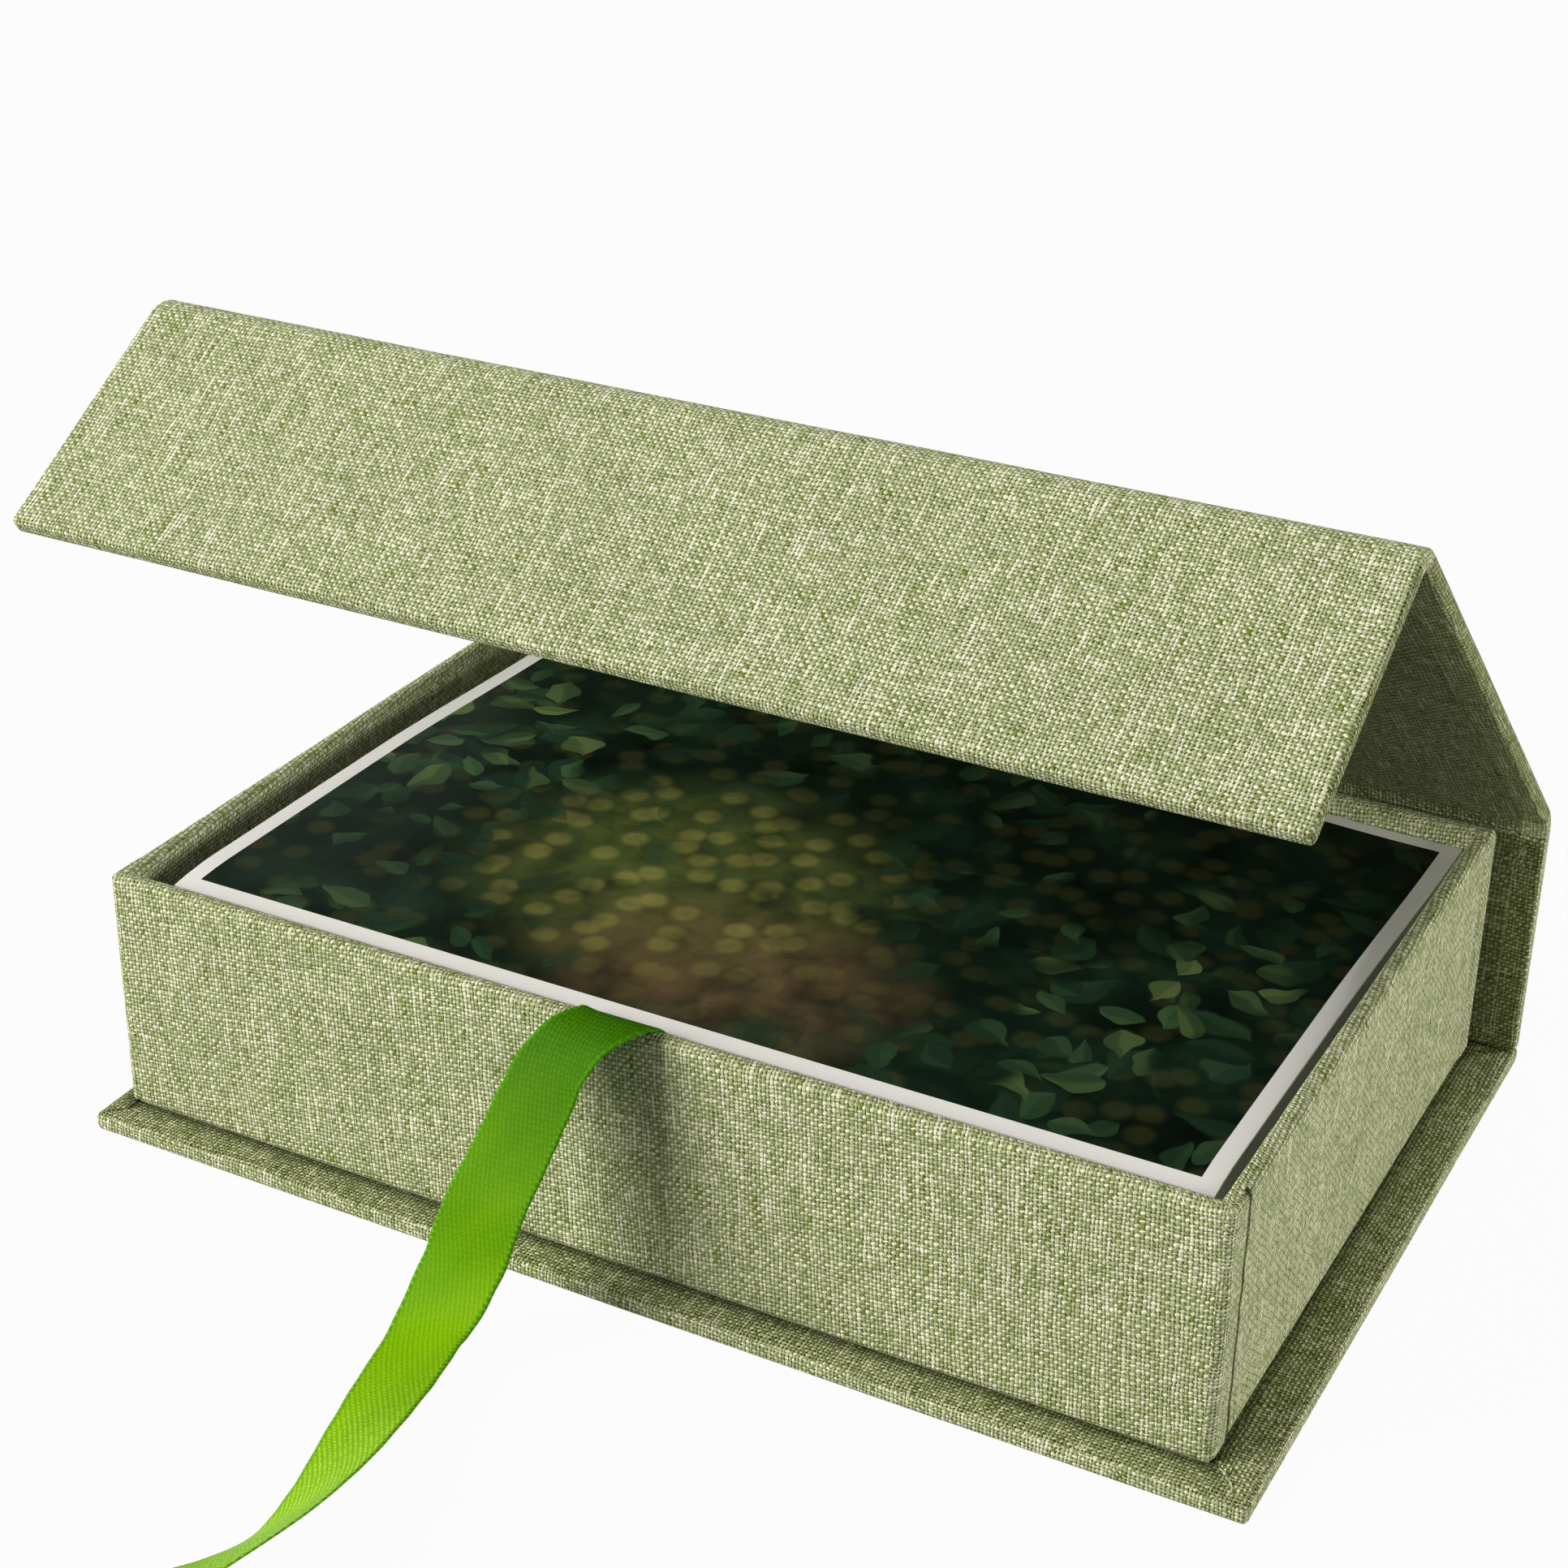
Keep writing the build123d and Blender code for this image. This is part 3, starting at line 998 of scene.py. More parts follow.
@dataclass(frozen=True)
class StackedPaper(Finish):
    """Cut edges of a stack of prints: thin bright and grey lines."""

    title: str = "print_stack"
    slot: Slot = Slot.PAPER
    sheet: float = 0.3
    light: Colour = rgb("E4E5E4")
    shade: Colour = rgb("8F9190")

    def wire(self, w: Wiring, shader: bpy.types.Node) -> None:
        """One line to each sheet, with slight changes from sheet to sheet."""
        x, y, z = w.split(w.solid_place())
        sheets = z / (self.sheet * MM)
        line = w.smooth(abs(w.math("FRACT", sheets) - 0.5), 0.3, 0.48)
        tint = w.noise(w.join(x * 12.0, y * 12.0, w.math("FLOOR", sheets)), 1.7, 1.0)
        shading = line * 0.8 + w.stretch(tint, 0.0, 0.25)
        w.fill(shader, Base_Color=w.blend(shading, self.light, self.shade),
               Roughness=w.stretch(tint, 0.45, 0.7), Normal=w.bump(line, -0.00005))


@dataclass(frozen=True)
class LeafLayer:
    """One layer of printed leaves: its scatter, two colours and how much shows."""

    size: float
    seed: float
    soft: float
    slim: float
    low: str
    high: str
    cover: float
    rarity: float


@dataclass(frozen=True)
class ShadyGarden(Finish):
    """Glossy print of shaded leaves with a soft glow, in a white border."""

    title: str = "garden_print"
    slot: Slot = Slot.PICTURE
    half_width: float = 76.2
    half_depth: float = 50.8
    border: float = 2.6
    white: Colour = rgb("F8F8F9")
    night: Colour = rgb("060B07")
    shade: Colour = rgb("14241A")
    layers: tuple[LeafLayer, ...] = (
        LeafLayer(26.0, 3.0, 0.16, 0.25, "0E1A13", "1D3022", 0.7, 0.5),
        LeafLayer(15.0, 9.0, 0.10, 0.24, "101F17", "274031", 0.85, 0.75),
        LeafLayer(11.0, 21.0, 0.05, 0.23, "15281D", "35533A", 0.9, 1.0),
        LeafLayer(8.0, 35.0, 0.03, 0.22, "1C3325", "4C6B45", 1.0, 1.3),
        LeafLayer(9.5, 52.0, 0.025, 0.24, "223B2B", "74884F", 1.0, 1.8),
    )

    def picture(self, w: Wiring, place: Signal) -> Signal:
        """Colour of the printed picture.

        Args:
            w: Wiring of the material.
            place: Place on the print in mm, from its middle.

        Returns:
            The colour.
        """
        x, y, _ = w.split(place)
        shift = w.join(w.stretch(w.noise(place, 0.09, 2.0), -2.2, 2.2),
                       w.stretch(w.noise(w.join(y, x, 4.0), 0.09), -2.2, 2.2))
        warped = w.math("ADD", place, shift, kind=VECTOR_MATH)
        cloud = w.noise(warped, 0.06, 3.0, 0.6)
        base = w.ramp(cloud, [(0.3, self.night), (0.55, self.shade), (0.75, rgb("22382A"))])
        mottled = w.noise(warped, 0.14, 3.0, 0.55)
        glow = self.pool(w, x, y, (-16.0, -14.0), (34.0, 30.0)) * w.stretch(mottled, 0.2, 1.0)
        warm = self.pool(w, x, y, (2.0, -34.0), (30.0, 20.0))
        base = w.blend(glow, base, rgb("5E6A38"))
        base = w.blend(warm * w.stretch(mottled, 0.1, 0.75), base, rgb("7A6448"))
        discs = w.result("ShaderNodeTexVoronoi", "Distance", {"voronoi_dimensions": "2D"},
                         Vector=place, Scale=0.16, Randomness=1.0)
        spark = (1.0 - w.smooth(discs, 0.2, 0.42)) * (glow * 0.5 + 0.05)
        base = w.blend(spark, base, rgb("A8A45A"))
        clear = 1.0 - w.math("MINIMUM", glow * 1.1 + warm * 0.9, 1.0)
        light = (self.pool(w, x, y, (52.0, -12.0), (30.0, 34.0)) * 0.6
                 + self.pool(w, x, y, (-62.0, 12.0), (24.0, 26.0)))
        for layer in self.layers:
            low, high = rgb(layer.low), rgb(layer.high)
            leaves = Leaves().put(w, Place=warped, Size=layer.size, Seed=layer.seed,
                                  Soft=layer.soft, Slim=layer.slim)
            patchy = w.smooth(w.noise(w.join(x, y, layer.seed), 0.035, 2.0) + light * 0.12,
                              0.36 + 0.07 * layer.rarity, 0.46 + 0.07 * layer.rarity)
            colour = w.blend(leaves["Tone"] * (light * 0.75 + 0.35), low, high)
            colour = w.blend(leaves["Vein"] * 0.28, colour, low)
            base = w.blend(leaves["Leaf"] * patchy * clear * layer.cover, base, colour)
        return base

    def pool(self, w: Wiring, x: Signal, y: Signal, middle: Place, reach: Place) -> Signal:
        """Soft round patch of light on the picture.

        Args:
            w: Wiring of the material.
            x: Place across the print in mm.
            y: Place up the print in mm.
            middle: The patch's middle in mm.
            reach: Its half width and half height in mm.

        Returns:
            1 in the middle, falling to 0.
        """
        dx = (x - middle[0]) / reach[0]
        dy = (y - middle[1]) / reach[1]
        return 1.0 - w.smooth(dx * dx + dy * dy, 0.0, 1.25)

    def wire(self, w: Wiring, shader: bpy.types.Node) -> None:
        """Picture inside its border, on glossy paper."""
        place = w.place()
        x, y, _ = w.split(place)
        inside = (w.smooth(self.half_width - self.border - abs(x), -0.03, 0.03)
                  * w.smooth(self.half_depth - self.border - abs(y), -0.03, 0.03))
        grain = w.noise(place, 3.0, 2.0)
        w.fill(shader, Base_Color=w.blend(inside, self.white, self.picture(w, place)),
               Roughness=w.stretch(grain, 0.4, 0.46), Specular_IOR_Level=0.02,
               Normal=w.bump(grain, 0.000004))


@dataclass(frozen=True)
class Nickel(Finish):
    """Plated or plain metal disc."""

    title: str = "nickel"
    slot: Slot = Slot.MAGNET
    light: Colour = rgb("C9C6BE")
    dark: Colour = rgb("A5A29A")

    def wire(self, w: Wiring, shader: bpy.types.Node) -> None:
        """Finely brushed metal."""
        x, y, z = w.split(w.solid_place())
        brushed = w.noise(w.join(x * 400.0, y * 4000.0, z * 400.0), 1.0, 3.0)
        w.fill(shader, Base_Color=w.blend(brushed, self.dark, self.light), Metallic=1.0,
               Roughness=w.stretch(brushed, 0.25, 0.4), Normal=w.bump(brushed, 0.000004))


@dataclass(frozen=True)
class PlainSteel(Nickel):
    """Steel disc in the front wall."""

    title: str = "plate_steel"
    slot: Slot = Slot.STEEL
    light: Colour = rgb("A9AAAC")
    dark: Colour = rgb("85878A")


LINEN = Linen(across=0.53, along=0.56, gape=0.1)
WALL_LINEN = Linen(title="wall_linen", slant=0.094)
# Darker linen as painted shade on the base's top and turn-ins.
SHADED_BASE_LINEN = ShadedBaseLinen()
# Darker copy of the linen, as painted shade for the cover's inward faces and the right ends of lid and
# flap.
SHADED_INNER_LINEN = Linen(title="shaded_inner_linen", across=0.53, along=0.56, gape=0.2,
                    pale=rgb("D2D4B0"), middle=rgb("8C9762"),
                    deep=rgb("526124"), gap=rgb("232B0E"))
# The lining is the same linen darkened as painted shade.
LINING = Linen(title="shaded_linen_lining", slot=Slot.LINING, pale=rgb("B5B592"),
               middle=rgb("77815A"), deep=rgb("4B5720"), gap=rgb("20260D"))
THREAD = Linen(title="loose_thread", across=0.2, along=0.2, streak=0.5,
               relief=0.00002, gap=rgb("A6AF7C"))


# Sub-assemblies

@dataclass
class CoverBoard:
    """One board of the cover with its linen and lining."""

    name: str
    body: Body
    leaf: Leaf
    low: float
    high: float
    free_low: bool
    free_high: bool
    sizes: BoxSizes
    shift: float = 0.0

    def cloth(self) -> bpy.types.Object:
        """Linen wrapped round the board, its free edges turned in."""
        s = self.sizes
        draft = Draft()
        Block(s.width, self.low, self.high, s.skin, s.edge_radius,
              free_low=self.free_low, free_high=self.free_high).draw(draft, self.leaf.at)
        draft.places = [tuple((u, v + self.shift) for u, v in face) for face in draft.places]
        piece = LINEN.dress(draft.build(f"{self.name}_linen", HAND_WAVER))
        piece.data.materials.append(SHADED_INNER_LINEN.material())
        # Painted shade: inward faces, and the right ends of lid and flap, take the darker linen.
        for face in piece.data.polygons:
            inward = face.normal.dot(self.leaf.outward) < -0.6
            shaded_end = face.normal.x > 0.6 and self.body is not Body.BOX
            if inward or shaded_end:
                face.material_index = 1
        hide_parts(f"{self.name}_cloth")
        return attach(piece, self.body.value)

    def lining(self) -> bpy.types.Object:
        """Lining sheet inside, set back from the free edges."""
        s = self.sizes
        draft = Draft()
        Block(s.width - 2 * s.lining_inset, self.low + s.lining_inset * self.free_low,
              self.high - s.lining_inset * self.free_high, s.lining + 0.04, 0.13, depth=s.skin - 0.04,
              free_low=self.free_low, free_high=self.free_high).draw(draft, self.leaf.at)
        draft.places = [tuple((u + 53.0, v + self.shift) for u, v in face) for face in draft.places]
        piece = LINING.dress(draft.build(f"{self.name}_inner_lining", HAND_WAVER))
        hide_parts(f"{self.name}_liner")
        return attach(piece, self.body.value)

    def build(self) -> list[bpy.types.Object]:
        """Make both pieces."""
        return [self.cloth(), self.lining()]


@dataclass
class JointCloth:
    """Linen outside and lining inside, bent across one joint."""

    name: str
    bodies: tuple[Body, Body]
    origin: Vector
    start: float
    turn: float
    sizes: BoxSizes
    shift: float
    steps: int = 14

    def frame(self) -> tuple[Vector, Vector, float]:
        """Middle of the bend, its first direction out, and outer radius.

        Returns:
            The bend's centre, the unit vector from it to the outer face
            where the bend starts, and the outer face's radius.
        """
        half = self.sizes.cover / 2
        tangent = self.sizes.joint_gap + half * math.tan(math.radians(self.turn / 2))
        radius = tangent / math.tan(math.radians(self.turn / 2))
        a = math.radians(self.start)
        along = Vector((0.0, math.cos(a), math.sin(a)))
        out = Vector((0.0, math.sin(a), -math.cos(a)))
        begin = self.origin - along * self.sizes.joint_gap + out * half
        return begin - out * radius, out, radius

    def bent(self, x: float, share: float, depth: float) -> Vector:
        """Point of the bend at a share of its turn.

        Args:
            x: Across the box.
            share: Share of the turn, from 0 to 1.
            depth: Below the outer face.

        Returns:
            The point.
        """
        centre, out, radius = self.frame()
        a = math.radians(self.start + self.turn * share)
        out = Vector((0.0, math.sin(a), -math.cos(a)))
        return centre + Vector((x, 0.0, 0.0)) + out * (radius - depth)

    def sleeve(self, name: str, width: float, top: float, bottom: float,
               radius: float, finish: Linen, shift: float) -> bpy.types.Object:
        """A strip with rounded sides swept round the bend.

        Args:
            name: The piece's name.
            width: Its width across the box.
            top: Depth of its outer face below the cover's outer face.
            bottom: Depth of its inner face.
            radius: Radius of its rounded sides.
            finish: Its linen.
            shift: Cloth place where the bend starts.

        Returns:
            The piece.
        """
        thick = bottom - top
        block = Block(width, 0.0, 10.0, thick, radius, free_low=False, free_high=False)
        middle_run = block.high / 2
        xs = rounded_stops(-width / 2, width / 2, radius, block.step)
        downs = rounded_stops(0.0, thick, radius, thick)
        edge = block.face_place(width / 2, middle_run)[0]
        loop = [(x, 0.0, block.face_place(x, middle_run)[0]) for x in xs]
        loop += [(width / 2, d, edge + block.side_length(d)) for d in downs[1:]]
        loop += [(x, thick, 2 * edge + block.side_length(thick) - x) for x in reversed(xs[:-1])]
        loop += [(-width / 2, d, -edge - block.side_length(d)) for d in reversed(downs[:-1])]
        _, _, bend = self.frame()
        length = math.radians(self.turn) * (bend - top)
        draft = Draft()
        rows, places = [], []
        for share in spread(0.0, 1.0, 1 / self.steps):
            spots = [block.rounded(x, middle_run, d) for x, d, _ in loop]
            rows.append([self.bent(p.x, share, p.z + top) for p in spots])
            places.append([(u, shift + share * length) for _, _, u in loop])
        draft.patch(rows, places)
        piece = finish.dress(draft.build(name, HAND_WAVER))
        middle = (top + bottom) / 2
        start, end = self.bent(0.0, 0.0, middle), self.bent(0.0, 1.0, middle)
        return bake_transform(piece, self.bodies[0].value, self.bodies[1].value,
                        start=tuple(start * MM), end=tuple(end * MM))

    def build(self) -> list[bpy.types.Object]:
        """Make the linen and the lining of the joint."""
        s = self.sizes
        outer = self.sleeve(f"{self.name}_linen", s.width, 0.0, s.skin,
                            s.edge_radius, LINEN, self.shift)
        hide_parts(f"{self.name}_cloth")
        inner = self.sleeve(f"{self.name}_inner_lining", s.width - 2 * s.lining_inset, s.skin - 0.04,
                            s.cover, 0.13, LINING, self.shift)
        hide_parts(f"{self.name}_lining")
        return [outer, inner]


@dataclass
class Cover:
    """Spine, lid and flap, and the cloth joints between them."""

    sizes: BoxSizes

    def build(self) -> list[bpy.types.Object]:
        """Make every board's linen and lining, then the joints."""
        s = self.sizes
        spine = Leaf(s.hinge, 90.0)
        lid = Leaf(s.hinge, s.lid_angle)
        fold = s.hinge + lid.along * s.lid_length
        flap = Leaf(fold, s.lid_angle - s.fold_turn)
        lid_turn = 90.0 - s.lid_angle
        lid_arc, flap_arc = (
            math.radians(turn) * (HALF_COVER + s.joint_gap / math.tan(math.radians(turn / 2)))
            for turn in (lid_turn, s.fold_turn))
        lid_run = s.lid_length - 2 * s.joint_gap
        pieces: list[bpy.types.Object] = []
        boards = (
            CoverBoard("spine", Body.BOX, spine, s.skin - s.hinge.z, -s.joint_gap, True, False, s),
            CoverBoard("lid", Body.LID, lid, s.joint_gap, s.lid_length - s.joint_gap, False, False, s,
                       lid_arc - 2 * s.joint_gap),
            CoverBoard("flap", Body.FLAP, flap, s.joint_gap, s.flap_length, False, True, s,
                       lid_arc + lid_run + flap_arc - 2 * s.joint_gap),
        )
        for board in boards:
            pieces += board.build()
        joints = (
            JointCloth("lid_hinge", (Body.BOX, Body.LID), s.hinge, 90.0, lid_turn, s, -s.joint_gap),
            JointCloth("flap_hinge", (Body.LID, Body.FLAP), fold, 180.0 - s.lid_angle, s.fold_turn, s,
                       lid_arc + lid_run - s.joint_gap),
        )
        for joint in joints:
            pieces += joint.build()
        return pieces


@dataclass
class Base:
    """Base board's linen, its side turn-ins laid over with mitred ends."""

    sizes: BoxSizes
    raised: float = 0.24
    sunk: float = 0.05
    end_slope: float = 0.02

    def at(self, x: float, run: float, depth: float) -> Vector:
        """Point on the base, whose outer face is its underside."""
        return Vector((x, run, depth))

    def turn_in(self, sign: int) -> Draft:
        """One side's turned-in linen, raised a little, its ends mitred.

        Args:
            sign: -1 for the left side, 1 for the right.

        Returns:
            The faces.
        """
        s = self.sizes
        draft = Draft()
        edge = s.width / 2 - s.edge_radius
        ends = s.depth / 2 - s.edge_radius
        lip = s.lip_left if sign < 0 else s.width - s.tray_width - s.lip_left
        insets = [0.0, 0.3, 0.7, 1.2] + spread(2.0, lip + 0.4, 1.2)
        count = round(2 * ends / 2.5)
        rows, places = [], []
        for inset in insets:
            top = s.skin + self.raised * min(1.0, inset / 0.9)
            reach = ends - inset * 0.98
            stops = [-reach + 2 * reach * i / count for i in range(count + 1)]
            line = [stops[0] - self.end_slope, *stops, stops[-1] + self.end_slope]
            heights = [s.skin - self.sunk, *[top] * len(stops), s.skin - self.sunk]
            rows.append([Vector((sign * (edge - inset), y, z)) for y, z in zip(line, heights)])
            places.append([(y + 13.0, inset + 40.0) for y in line])
        draft.patch(rows, places)
        return draft

    def build(self) -> list[bpy.types.Object]:
        """Make the wrapped base and its two turn-ins."""
        s = self.sizes
        draft = Draft()
        Block(s.width, -s.depth / 2, s.depth / 2, s.skin, s.edge_radius).draw(draft, self.at, 7.0)
        base = LINEN.dress(draft.build("base_linen", HAND_WAVER))
        base.data.materials.append(SHADED_BASE_LINEN.material())
        # Upward faces of the base take the darker linen as painted shade.
        for face in base.data.polygons:
            if face.normal.z > 0.7:
                face.material_index = 1
        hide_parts("base_cloth")
        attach(base, Body.BOX.value)
        pieces = [base]
        for sign, side in ((-1, "left"), (1, "right")):
            flap = self.turn_in(sign).build(f"base_turn_in_{side}", HAND_WAVER)
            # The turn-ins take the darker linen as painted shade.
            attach(SHADED_BASE_LINEN.dress(flap), Body.BOX.value)
            pieces.append(flap)
        return pieces


@dataclass
class Tray:
    """Tray's linen over outside, rim and inside, and its floor lining."""

    sizes: BoxSizes
    corner: float = 1.3
    rim_radius: float = 1.1
    lap: float = 3.4
    seam: float = 1.1
    lap_foot: float = 0.02
    lap_rise: float = 0.08
    seam_rise: float = 0.03
    sunk: float = -0.05
    turns: int = 8
    flats: int = 6

    def ring(self, inset: float, z: float) -> list[tuple[Vector, float]]:
        """Outline of the tray at one inset, with the run along each point.

        Args:
            inset: Distance in from the outer faces.
            z: Height.

        Returns:
            Points round the tray and the cloth length to each, from the
            middle of the back.
        """
        s = self.sizes
        hx, hy = s.tray_width / 2, s.tray_depth / 2
        middle = s.tray_middle
        outer, inner = self.corner, max(self.corner - inset, 0.12)
        points: list[tuple[Vector, float]] = []
        run = 0.0
        sides = ((0.0, 1.0, hx, hy), (1.0, 0.0, hy, hx), (0.0, -1.0, hx, hy), (-1.0, 0.0, hy, hx))
        for k, (nx, ny, half, out) in enumerate(sides):
            tx, ty = ny, -nx
            length = 2 * (half - outer)
            straight = half - inset - inner
            count = max(2, round(length / 2.4))
            for i in range(count + 1):
                t = -1 + 2 * i / count
                spot = Vector((tx * t * straight + nx * (out - inset),
                               ty * t * straight + ny * (out - inset), z))
                points.append((middle + spot, run + length * i / count))
            run += length
            cx = tx * straight + nx * (out - inset - inner)
            cy = ty * straight + ny * (out - inset - inner)
            for i in range(1, 8):
                a = math.radians(90 * i / 8)
                dx = nx * math.cos(a) + tx * math.sin(a)
                dy = ny * math.cos(a) + ty * math.sin(a)
                points.append((middle + Vector((cx + dx * inner, cy + dy * inner, z)), run + outer * a))
            run += outer * math.pi / 2
        points.append((points[0][0].copy(), run))
        return points

    def profile(self) -> list[tuple[float, float, float]]:
        """Section through a wall: inset, height and cloth length.

        Returns:
            The stops, from the foot outside to the floor inside.
        """
        s, r = self.sizes, self.rim_radius
        bottom, top, wall = s.skin, s.rim, s.skin
        steps: list[tuple[float, float]] = [(0.55, bottom), (0.3, bottom + 0.15), (0.1, bottom + 0.4)]
        steps += [(0.0, z) for z in spread(bottom + 0.8, top - r, 2.4)]
        for i in range(1, 8):
            a = math.radians(90 * i / 7)
            steps.append((r - r * math.cos(a), top - r + r * math.sin(a)))
        for i in range(0, 8):
            a = math.radians(90 * i / 7)
            steps.append((wall - r + r * math.sin(a), top - r + r * math.cos(a)))
        steps += [(wall, z) for z in reversed(spread(s.floor_top - 0.3, top - r, 2.4)[:-1])]
        out: list[tuple[float, float, float]] = []
        run, last = 0.0, steps[0]
        for step in steps:
            run += math.dist(step, last)
            last = step
            out.append((step[0], step[1], run))
        return out

    def walls(self) -> bpy.types.Object:
        """Linen of the four walls."""
        draft = Draft()
        rows, places = [], []
        for inset, z, run in self.profile():
            ring = self.ring(inset, z)
            rows.append([p for p, _ in ring])
            places.append([(-u, run + 5.0) for _, u in ring])
        draft.patch(rows, places)
        piece = WALL_LINEN.dress(draft.build("tray_linen", HAND_WAVER))
        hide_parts("tray_cloth")
        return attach(piece, Body.BOX.value)

    def corner_lap(self, side: int, end: int) -> Draft:
        """End of the front or back linen, lapped round a corner.

        Args:
            side: -1 for the left corner, 1 for the right.
            end: -1 for the front, 1 for the back.

        Returns:
            The faces.
        """
        s, c, r = self.sizes, self.corner, self.rim_radius
        hx, hy = s.tray_width / 2, s.tray_depth / 2
        levels = [(0.0, z, 0.0) for z in spread(s.skin + 0.4, s.rim - r, 1.8)]
        for i in range(1, 8):
            a = math.radians(85 * i / 7)
            levels.append((r - r * math.cos(a), s.rim - r + r * math.sin(a), a))
        past_lap = ((self.seam_rise, self.lap + 0.05), (self.seam_rise, self.lap + self.seam),
                    (self.sunk, self.lap + self.seam + 0.05))
        lap_end = self.turns + self.flats
        draft = Draft()
        rows, places = [], []
        for inset, z, tilt in levels:
            sway = 0.16 * math.sin(z * 0.9) + 0.1 * math.sin(z * 2.3 + 1)
            bend = max(c - inset, 0.12)
            tuck = 1.0 - smoothstep(tilt, 0.9, 1.45)
            row, line = [], []
            for k in range(lap_end + 1 + len(past_lap)):
                turned = min(k, self.turns) / self.turns
                laid = max(0, k - self.turns) / self.flats
                a = math.radians(90 * turned)
                proud, run = (self.lap_foot + self.lap_rise * turned) * tuck, self.lap * laid
                if k > lap_end:
                    proud, run = past_lap[k - lap_end - 1]
                if tuck == 0.0:
                    proud = self.sunk
                out = bend + proud * math.cos(tilt)
                row.append(s.tray_middle + Vector((
                    side * (hx - inset - bend + out * math.sin(a)),
                    end * (hy - inset - bend + out * math.cos(a) - run + sway * min(1.0, laid)),
                    z + proud * math.sin(tilt))))
                line.append((z * 1.02 + 9.0, (c * a + run) * 1.1 + 77.0))
            rows.append(row)
            places.append(line)
        draft.patch(rows, places)
        return draft

    def floor(self) -> bpy.types.Object:
        """Lining on the tray's floor."""
        s = self.sizes
        middle = s.tray_middle
        half = s.tray_depth / 2 - s.skin - 0.1
        draft = Draft()
        Block(s.tray_width - 2 * s.skin - 0.2, -half, half, s.cloth, 0.12).draw(
            draft, lambda x, run, d: middle + Vector((x, run, s.floor_top - d)))
        piece = LINING.dress(draft.build("tray_floor_lining"))
        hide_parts("floor_lining")
        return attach(piece, Body.BOX.value)

    def build(self) -> list[bpy.types.Object]:
        """Make walls, floor and the four lapped corners."""
        pieces = [self.walls(), self.floor()]
        for side, end, name in ((-1, -1, "front_left"), (1, -1, "front_right"),
                                (-1, 1, "back_left"), (1, 1, "back_right")):
            lap = self.corner_lap(side, end).build(f"corner_lap_{name}", HAND_WAVER)
            pieces.append(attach(LINEN.dress(lap), Body.BOX.value))
            if end < 0:
                self.paint_seam_shadow(lap)
        return pieces

    def paint_seam_shadow(self, lap: bpy.types.Object) -> None:
        """Painted shadow: give the strip beyond a front lap's end the darker linen.

        Args:
            lap: The lap.
        """
        lap.data.materials.append(SHADED_BASE_LINEN.material())
        lap_end = self.sizes.tray_depth / 2 - self.corner - self.lap - 0.02
        for face in lap.data.polygons:
            # Faces past the lap's end get the painted shadow.
            if self.sizes.tray_middle.y - face.center.y / MM < lap_end:
                face.material_index = 1


@dataclass
class Prints:
    """The top print, slightly domed, on the bundles below it."""

    sizes: BoxSizes
    width: float = 152.4
    depth: float = 101.6
    middle_x: float = -0.3
    middle_y: float = 1.55
    thickness: float = 0.3
    rise: float = 2.7
    front_curl: float = 0.7
    curl_reach: float = 9.0
    droop_reach: float = 40.0
    droop_left: float = 0.8
    droop_right: float = 0.9
    back_drop: float = 0.35

    def lift(self, x: float, y: float) -> float:
        """Height of the sheet above the stack; its back corners droop.

        Args:
            x: Across, from its middle.
            y: To the back, from its middle.

        Returns:
            The height in mm.
        """
        drop = 0.0
        for end, droop in ((1, self.droop_right), (-1, self.droop_left)):
            off = math.hypot(self.width / 2 - end * x, self.depth / 2 - y) / self.droop_reach
            drop += droop * math.exp(-off * off)
        back = self.back_drop * (y / self.depth + 0.5)
        ahead = max(0.0, 1.0 - (y + self.depth / 2) / self.curl_reach)
        return self.rise * (1.0 - max(drop, back)) - self.front_curl * ahead * ahead

    def build(self) -> list[bpy.types.Object]:
        """Make the top print."""
        draft = Draft()
        half = self.depth / 2

        def at(x: float, run: float, depth: float) -> Vector:
            """Place of a point of the sheet."""
            return Vector((self.middle_x + x, self.middle_y + run,
                           self.sizes.print_top - depth + self.lift(x, run)))

        Block(self.width, -half, half, self.thickness, 0.04).draw(draft, at)
        piece = ShadyGarden().dress(draft.build("picture_print"))
        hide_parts("top_print")
        return [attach(piece, Body.BOX.value)]


